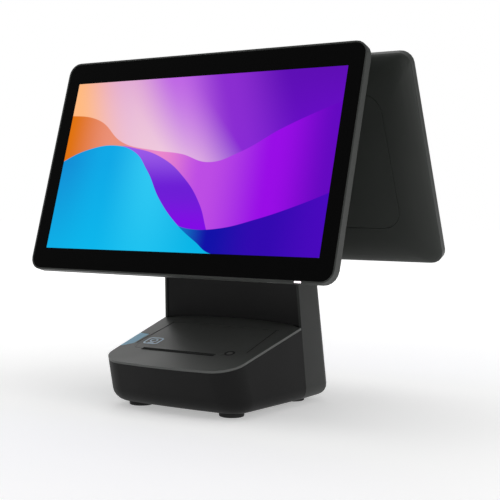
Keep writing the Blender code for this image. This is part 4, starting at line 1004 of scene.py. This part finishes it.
@dataclass
class Display:
    """One of the two displays: rim, cover glass, lit panel, pillowed back and service cover."""

    side: Side
    refined: Refined
    origin: Vector
    across: Vector
    up: Vector
    half_width: float = 0.1721
    half_height: float = 0.0968
    picture_drop: float = 0.00055

    @property
    def frame(self) -> Matrix:
        """The screen's own frame: X across, Y up, Z out of the glass."""
        return axes(self.origin, self.across, self.up)

    @property
    def body(self) -> str:
        """The CAD body that the display's pieces ride on."""
        return f"{self.side.value}_display"

    def node(self, part: str) -> str:
        """The name of one of this display's CAD nodes."""
        return f"{self.side.value}_{part}"

    def build(self) -> None:
        """Builds every piece of the display in order."""
        self.build_glass()
        self.refined.build(self.node("housing"), edge=0.0005)
        self.refined.build(self.node("back_cover"), edge=0.0006)
        self.refined.build(self.node("service_cover"), edge=0.0006)
        self.refined.dress(self.node("lcd_panel"))
        self.refined.build(self.node("hinge_plate"), edge=0.0003)
        if self.side is Side.MAIN:
            self.refined.build("main_status_light", Palette.STATUS, edge=0.0002)
            self.refined.build("main_power_button", edge=0.0004)
            self.refined.dress("main_mainboard")
        else:
            self.refined.build("customer_light_strip", Palette.STRIP, edge=0.0003)
            self.refined.dress("customer_driver_board")

    def build_glass(self) -> None:
        """Dresses the cover glass with its printed border and lit picture."""
        turn = self.frame.to_euler()
        centre = self.frame @ Vector((0, -self.picture_drop, 0))
        lit = LitGlass(
            f"{self.side.value}_lit_glass", linear("030303"), 0.06, centre=tuple(centre), turn=tuple(turn),
            half=(self.half_width, self.half_height),
        )
        self.refined.build(self.node("glass"), lit, edge=0.0004)


@dataclass
class Column:
    """The column between the displays with its shell, front panel, cap and hinge head."""

    refined: Refined

    def build(self) -> None:
        """Builds the column's pieces."""
        self.refined.build("column_shell", edge=0.0006)
        self.refined.build("column_front_panel", edge=0.0004)
        self.refined.build("column_cap", edge=0.0005)
        self.refined.build("hinge_head", edge=0.0)
        for node in ("column_spine", "main_hinge_pin", "customer_hinge_pin"):
            self.refined.dress(node)


@dataclass
class CounterCasing:
    """The base on the counter: casing, deck, lid, button, release tab and feet."""

    refined: Refined
    deck_origin: Vector = field(default_factory=lambda: Vector((0, -0.009726, 0.0844)))
    deck_back: Vector = field(default_factory=lambda: Vector((0, 0.96858, 0.24869)))
    slot: tuple[float, float] = (-0.0065, 0.093)
    lid_front: float = 0.0927
    lid_rear: float = 0.0142
    lid_rear_half: float = 0.0696
    lid_front_half: float = 0.0656
    seam_shade_width: float = 0.0006
    seam_shade_height: float = 0.0004
    seam_shade_gap: float = 0.0009
    seam_shade_short: float = 0.012
    slot_front: float = 0.095
    lip: float = 0.0016
    lip_rise: float = 0.00005
    lip_border: float = 0.0004
    lip_dip: float = 0.0001
    proud: float = 0.0005
    button: tuple[float, float] = (0.0534, 0.0856)
    ring_radius: float = 0.0055
    ring_hole: float = 0.0038
    ring_rise: float = 0.0001
    ring_height: float = 0.0006
    ring_border: float = 0.0006
    ring_dip: float = 0.00025
    mark: tuple[float, float] = (-0.0545, 0.0715)
    mark_size: float = 0.0195
    mark_rise: float = 0.00002
    mark_height: float = 0.0003
    roll_back: float = 0.001
    tail_ahead: float = 0.0058
    tail_depth: float = 0.0018
    tail_corner: float = 0.0006
    screw_radius: float = 0.0028
    screw_in: tuple[float, float] = (0.01, 0.012)
    screw_rise: float = 0.0004

    @property
    def deck(self) -> Matrix:
        """The deck's own frame: X across, Y towards the column, Z out of the deck."""
        return axes(self.deck_origin, Vector((1, 0, 0)), self.deck_back)

    def build(self) -> None:
        """Builds the casing's pieces."""
        self.refined.build("base_housing", edge=0.0006)
        self.refined.build("base_top_cover", edge=0.0008)
        self.refined.build("printer_lid", edge=0.0007)
        self.refined.build("bottom_cover", edge=0.0004)
        self.refined.build("feed_button", edge=0.0004)
        self.refined.build("release_tab", edge=0.0004)
        for node in ("foot_front_left", "foot_front_right", "foot_rear_left", "foot_rear_right"):
            self.refined.build(node, edge=0.0008)
        self.refined.dress("chassis_plate")
        self.build_slot_shade()
        self.build_lid_seam_shade()
        self.build_button_ring_shade()
        self.build_mark()
        self.build_bottom_screws()

    def build_slot_shade(self) -> None:
        """Models dark strips on both sides of the paper slot, at the tear edge and the lid's front: painted
        shade that darkens the slot.
        """
        x, width = self.slot
        for name, body, along, depth in (
            ("tear_edge_shade", "base", -(self.slot_front + self.lip / 2), self.lip),
            ("lid_lip_shade", "lid", -(self.lid_front - self.lip / 2), self.lip * 0.9),
        ):
            lip = Bench.block(name, (x, along, self.lip_rise), (width, depth, self.proud))
            Bench.round_corners(lip, self.lip * 0.3, 3)
            Bench.dish(lip, self.lip_border, -self.lip_dip)
            # painted shade: both strips darken the paper slot
            Bench.finish(lip, Palette.GAP_SHADE, body, "casing", self.deck)

    def build_lid_seam_shade(self) -> None:
        """Models thin dark strips beside the lid's long edges, painted shade that darkens the lid's seam."""
        rear, front = self.lid_rear_half, self.lid_front_half
        lean = math.atan2(rear - front, self.lid_front - self.lid_rear)
        middle = -(self.lid_front + self.lid_rear) / 2
        length = self.lid_front - self.lid_rear - self.seam_shade_short
        size = (self.seam_shade_width, length, self.seam_shade_height)
        for name, side in (("lid_seam_shade_left", -1), ("lid_seam_shade_right", 1)):
            # painted shade: a dark strip laid along the lid's seam
            seam_shade = Bench.block(name, (0, -self.seam_shade_short / 2, 0), size)
            Bench.round_corners(seam_shade, self.seam_shade_width * 0.4, 2)
            Bench.dish(seam_shade, self.seam_shade_width * 0.2, self.seam_shade_height * 0.2)
            out = side * ((rear + front) / 2 + self.seam_shade_gap + self.seam_shade_width / 2)
            place = Matrix.Translation((out, middle + self.seam_shade_short, 0))
            turn = Matrix.Rotation(side * lean, 4, "Z")
            Bench.finish(seam_shade, Palette.GAP_SHADE, "base", "casing", self.deck @ place @ turn)

    def build_button_ring_shade(self) -> None:
        """Models the dished dark ring round the paper feed button, painted shade of the seam round it."""
        x, ahead = self.button
        centre = (x, -ahead, self.ring_rise)
        ring = Bench.disc("feed_button_ring_shade", centre, self.ring_radius, self.ring_height, 40)
        Bench.open_through(ring, self.ring_radius - self.ring_hole)
        Bench.dish(ring, self.ring_border, -self.ring_dip)
        # painted shade: the dark ring stands for the shade in the seam round the button
        Bench.finish(ring, Palette.GAP_SHADE, "base", "casing", self.deck)

    def build_mark(self) -> None:
        """Models the printed mark on the lid: a rounded square round a plain paper roll."""
        x, ahead = self.mark
        rise, size, height = self.mark_rise, self.mark_size, self.mark_height
        frame = Bench.block("mark_frame", (x, -ahead, rise), (size, size * 0.94, height))
        Bench.round_corners(frame, size * 0.24)
        Bench.open_through(frame, size * 0.1)
        Bench.finish(frame, Palette.INK, "lid", "deck", self.deck)
        roll = Bench.disc("mark_roll", (x, -ahead + self.roll_back, rise), size * 0.25, height, 36)
        Bench.open_through(roll, size * 0.09)
        Bench.finish(roll, Palette.INK, "lid", "deck", self.deck)
        centre = (x, -ahead - self.tail_ahead, rise)
        tail = Bench.block("mark_tail", centre, (size * 0.4, self.tail_depth, height))
        Bench.round_corners(tail, self.tail_corner, 3)
        Bench.finish(tail, Palette.INK, "lid", "deck", self.deck)

    def build_bottom_screws(self) -> None:
        """Sets the screws that hold the bottom cover."""
        low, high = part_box("bottom_cover")
        head = screw("bottom_screw_1", self.screw_radius, self.screw_radius * 0.7)
        head.data.transform(Matrix.Rotation(math.pi, 4, "X"))
        in_x, in_y = self.screw_in
        rows = (low.y + in_y, (low.y + high.y) / 2, high.y - in_y)
        places = [(x, y) for y in rows for x in (low.x + in_x, high.x - in_x)]
        first = Vector((*places[0], low.z + self.screw_rise))
        head.data.transform(Matrix.Translation(first))
        for count, place in enumerate(places[1:], 2):
            twin = Bench.copy(head, f"bottom_screw_{count}", Vector((*place, first.z)) - first)
            Bench.finish(twin, Palette.STEEL, "base", "steel")
        Bench.finish(head, Palette.STEEL, "base", "steel")


@dataclass
class ReceiptPrinter:
    """The printer under the lid."""

    refined: Refined

    def build(self) -> None:
        """Dresses the printer's CAD nodes."""
        for node in (
            "cutter_guide", "paper_bucket", "lid_carrier", "platen_shaft", "platen_roller", "motor_pinion",
            "printer_frame_left", "printer_frame_right", "printer_cross_beam", "stepper_motor", "fixed_blade",
            "cutter_blade", "print_head", "platen_gear", "idler_gear", "latch_shaft", "printer_board",
            "lid_hinge_pin_left", "lid_hinge_pin_right",
        ):
            self.refined.dress(node)


@dataclass
class PortBay:
    """The sockets on the back of the base and their board."""

    refined: Refined
    pitch: float = 0.00127
    contact: Point = (0.0004, 0.007, 0.0004)
    contact_in: float = 0.0055
    contact_down: float = 0.0032
    contact_bend: Point = (0, -0.0015, 0.0012)
    tongue: Point = (0.0105, 0.0095, 0.0018)
    tongue_in: float = 0.0066
    tongue_up: float = 0.62
    tongue_edge: float = 0.0003
    pin_radius: float = 0.001
    pin_length: float = 0.009
    pin_tip: float = 0.0006
    pin_in: float = 0.0065

    def build(self) -> None:
        """Dresses the sockets and their board."""
        for node in ("lan_socket", "drawer_socket", "usb_socket", "dc_socket", "port_board"):
            self.refined.dress(node)
        self.build_contacts("lan_socket", 8)
        self.build_contacts("drawer_socket", 6)
        self.build_tongues()
        self.build_centre_pin()

    def build_contacts(self, node: str, count: int) -> None:
        """Models the sprung contacts in a modular socket.

        Args:
            node: the socket's CAD node.
            count: how many contacts it has.
        """
        low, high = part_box(node)
        middle = (low.x + high.x) / 2
        start = middle - self.pitch * (count - 1) / 2
        centre = (start, high.y - self.contact_in, high.z - self.contact_down)
        first = Bench.block(f"{node}_contact_1", centre, self.contact)
        Bench.faces(first, lambda f: f.normal.y < -0.9)
        bpy.ops.mesh.extrude_region_move(TRANSFORM_OT_translate={"value": self.contact_bend})
        bpy.ops.object.mode_set(mode="OBJECT")
        for number in range(2, count + 1):
            move = Vector((self.pitch * (number - 1), 0, 0))
            twin = Bench.copy(first, f"{node}_contact_{number}", move)
            Bench.finish(twin, Palette.CONTACT, "base", "steel")
        Bench.finish(first, Palette.CONTACT, "base", "steel")

    def build_tongues(self) -> None:
        """Models the tongues in the two stacked sockets."""
        low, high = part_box("usb_socket")
        middle = (low.x + high.x) / 2
        rise = (high.z - low.z) / 2
        centre = (middle, high.y - self.tongue_in, low.z + rise * self.tongue_up)
        first = Bench.block("usb_tongue_1", centre, self.tongue)
        Bench.bevel(first, self.tongue_edge)
        second = Bench.copy(first, "usb_tongue_2", Vector((0, 0, rise)))
        for tongue in (first, second):
            Bench.finish(tongue, Palette.TONGUE, "base", "socket")

    def build_centre_pin(self) -> None:
        """Models the pin in the power inlet."""
        low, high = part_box("dc_socket")
        pin = Bench.disc("dc_pin", (0, 0, 0), self.pin_radius, self.pin_length, 20)
        Bench.faces(pin, lambda f: f.normal.z > 0.9)
        bpy.ops.mesh.extrude_region_move(TRANSFORM_OT_translate={"value": (0, 0, self.pin_tip)})
        bpy.ops.transform.resize(value=(0.5, 0.5, 1))
        bpy.ops.object.mode_set(mode="OBJECT")
        turn = Matrix.Rotation(-math.pi / 2, 4, "X")
        place = Matrix.Translation(((low.x + high.x) / 2, high.y - self.pin_in, (low.z + high.z) / 2))
        Bench.finish(pin, Palette.CONTACT, "base", "steel", place @ turn)


@dataclass(frozen=True)
class SoftBox:
    """One square soft light: its place, where it points, its side and its power in watts."""

    name: str
    place: Point
    target: Point
    side: float
    power: float

    def hang(self) -> None:
        """Hangs the light."""
        lamp = bpy.data.lights.new(self.name, "AREA")
        lamp.size = self.side
        lamp.energy = self.power
        box = bpy.data.objects.new(self.name, lamp)
        box.location = self.place
        box.rotation_euler = (Vector(self.target) - Vector(self.place)).to_track_quat("-Z", "Y").to_euler()
        bpy.context.scene.collection.objects.link(box)


@dataclass
class Studio:
    """Pale floor, soft lights and the camera."""

    lights: tuple[SoftBox, ...] = (
        SoftBox("light_over", (0.0, 0.0, 1.9), (0.0, 0.0, 0.1), 2.0, 13.0),
        SoftBox("light_behind_left", (-1.2, 1.5, 1.2), (0.0, 0.0, 0.1), 1.6, 7.0),
        SoftBox("light_right", (1.9, 0.1, 0.6), (0.1, 0.0, 0.2), 1.2, 6.0),
        SoftBox("light_front", (1.3, -2.0, 0.9), (0.0, 0.0, 0.15), 1.4, 4.0),
        SoftBox("light_left", (-1.9, -0.3, 0.7), (0.0, 0.0, 0.15), 1.2, 4.0),
    )
    eye: Point = (0.68484, -1.05283, 0.22419)
    yaw: float = 34.86
    pitch: float = 1.97
    roll: float = 0.15
    lens: float = 81.29
    shift: tuple[float, float] = (0.1, -0.031)

    def build(self) -> None:
        """Builds the studio round the terminal."""
        self.build_camera()
        self.build_floor()
        self.build_world()
        for light in self.lights:
            light.hang()

    def build_camera(self) -> None:
        """Places the camera and makes it the scene's own."""
        lens = bpy.data.cameras.new("camera")
        lens.sensor_width = 36
        lens.lens = self.lens
        lens.shift_x, lens.shift_y = self.shift
        camera = bpy.data.objects.new("camera", lens)
        camera.location = self.eye
        camera.rotation_euler = (
            Matrix.Rotation(math.radians(self.yaw), 4, "Z")
            @ Matrix.Rotation(math.radians(90 - self.pitch), 4, "X")
            @ Matrix.Rotation(math.radians(self.roll), 4, "Z")
        ).to_euler()
        bpy.context.scene.collection.objects.link(camera)
        bpy.context.scene.camera = camera

    def build_floor(self) -> None:
        """Lays a wide pale floor."""
        floor = Bench.block("floor", (0, 0, -0.01), (12, 12, 0.02))
        Bench.bevel(floor, 0.004)
        floor.data.materials.append(PaleFloor("floor_pale", (0.86, 0.86, 0.86), 0.7).material())

    def build_world(self) -> None:
        """Gives the room its even light, with a white sweep behind the set."""
        world = bpy.data.worlds.new("studio")
        world.use_nodes = True
        graph = Graph(world.node_tree)
        graph.tree.nodes.clear()
        seen = graph.add("LightPath").outputs["Is Camera Ray"]
        room = graph.add("Background", {"Color": (1, 1, 1, 1), "Strength": 0.22})
        sweep = graph.add("Background", {"Color": (1, 1, 1, 1), "Strength": 1.0})
        both = graph.add("MixShader", {0: seen, 1: room.outputs[0], 2: sweep.outputs[0]})
        graph.add("OutputWorld", {"Surface": both.outputs[0]})
        bpy.context.scene.world = world
        bpy.context.scene.view_settings.view_transform = "Standard"


def main() -> None:
    """Builds the terminal and its studio in order."""
    logging.basicConfig(level=logging.INFO, format="%(name)s: %(message)s")
    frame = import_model()
    slots = {row["node"]: row["material_slot"] for row in frame["record"]["subparts"]}
    bodies = {node: body for body, nodes in frame["record"]["behaviour"]["bodies"].items() for node in nodes}
    refined = Refined(frame["nodes"], slots, bodies)
    Studio().build()
    CounterCasing(refined).build()
    Column(refined).build()
    for side, origin, across, up in (
        (Side.MAIN, (0, -0.092826, 0.2593), (1, 0, 0), (0, 0.2907, 0.95681)),
        (Side.CUSTOMER, (0, 0.092274, 0.2653), (-1, 0, 0), (0, -0.39715, 0.91775)),
    ):
        Display(side, refined, Vector(origin), Vector(across), Vector(up)).build()
    ReceiptPrinter(refined).build()
    PortBay(refined).build()
    Bench.clear()


if __name__ == "__main__":
    main()
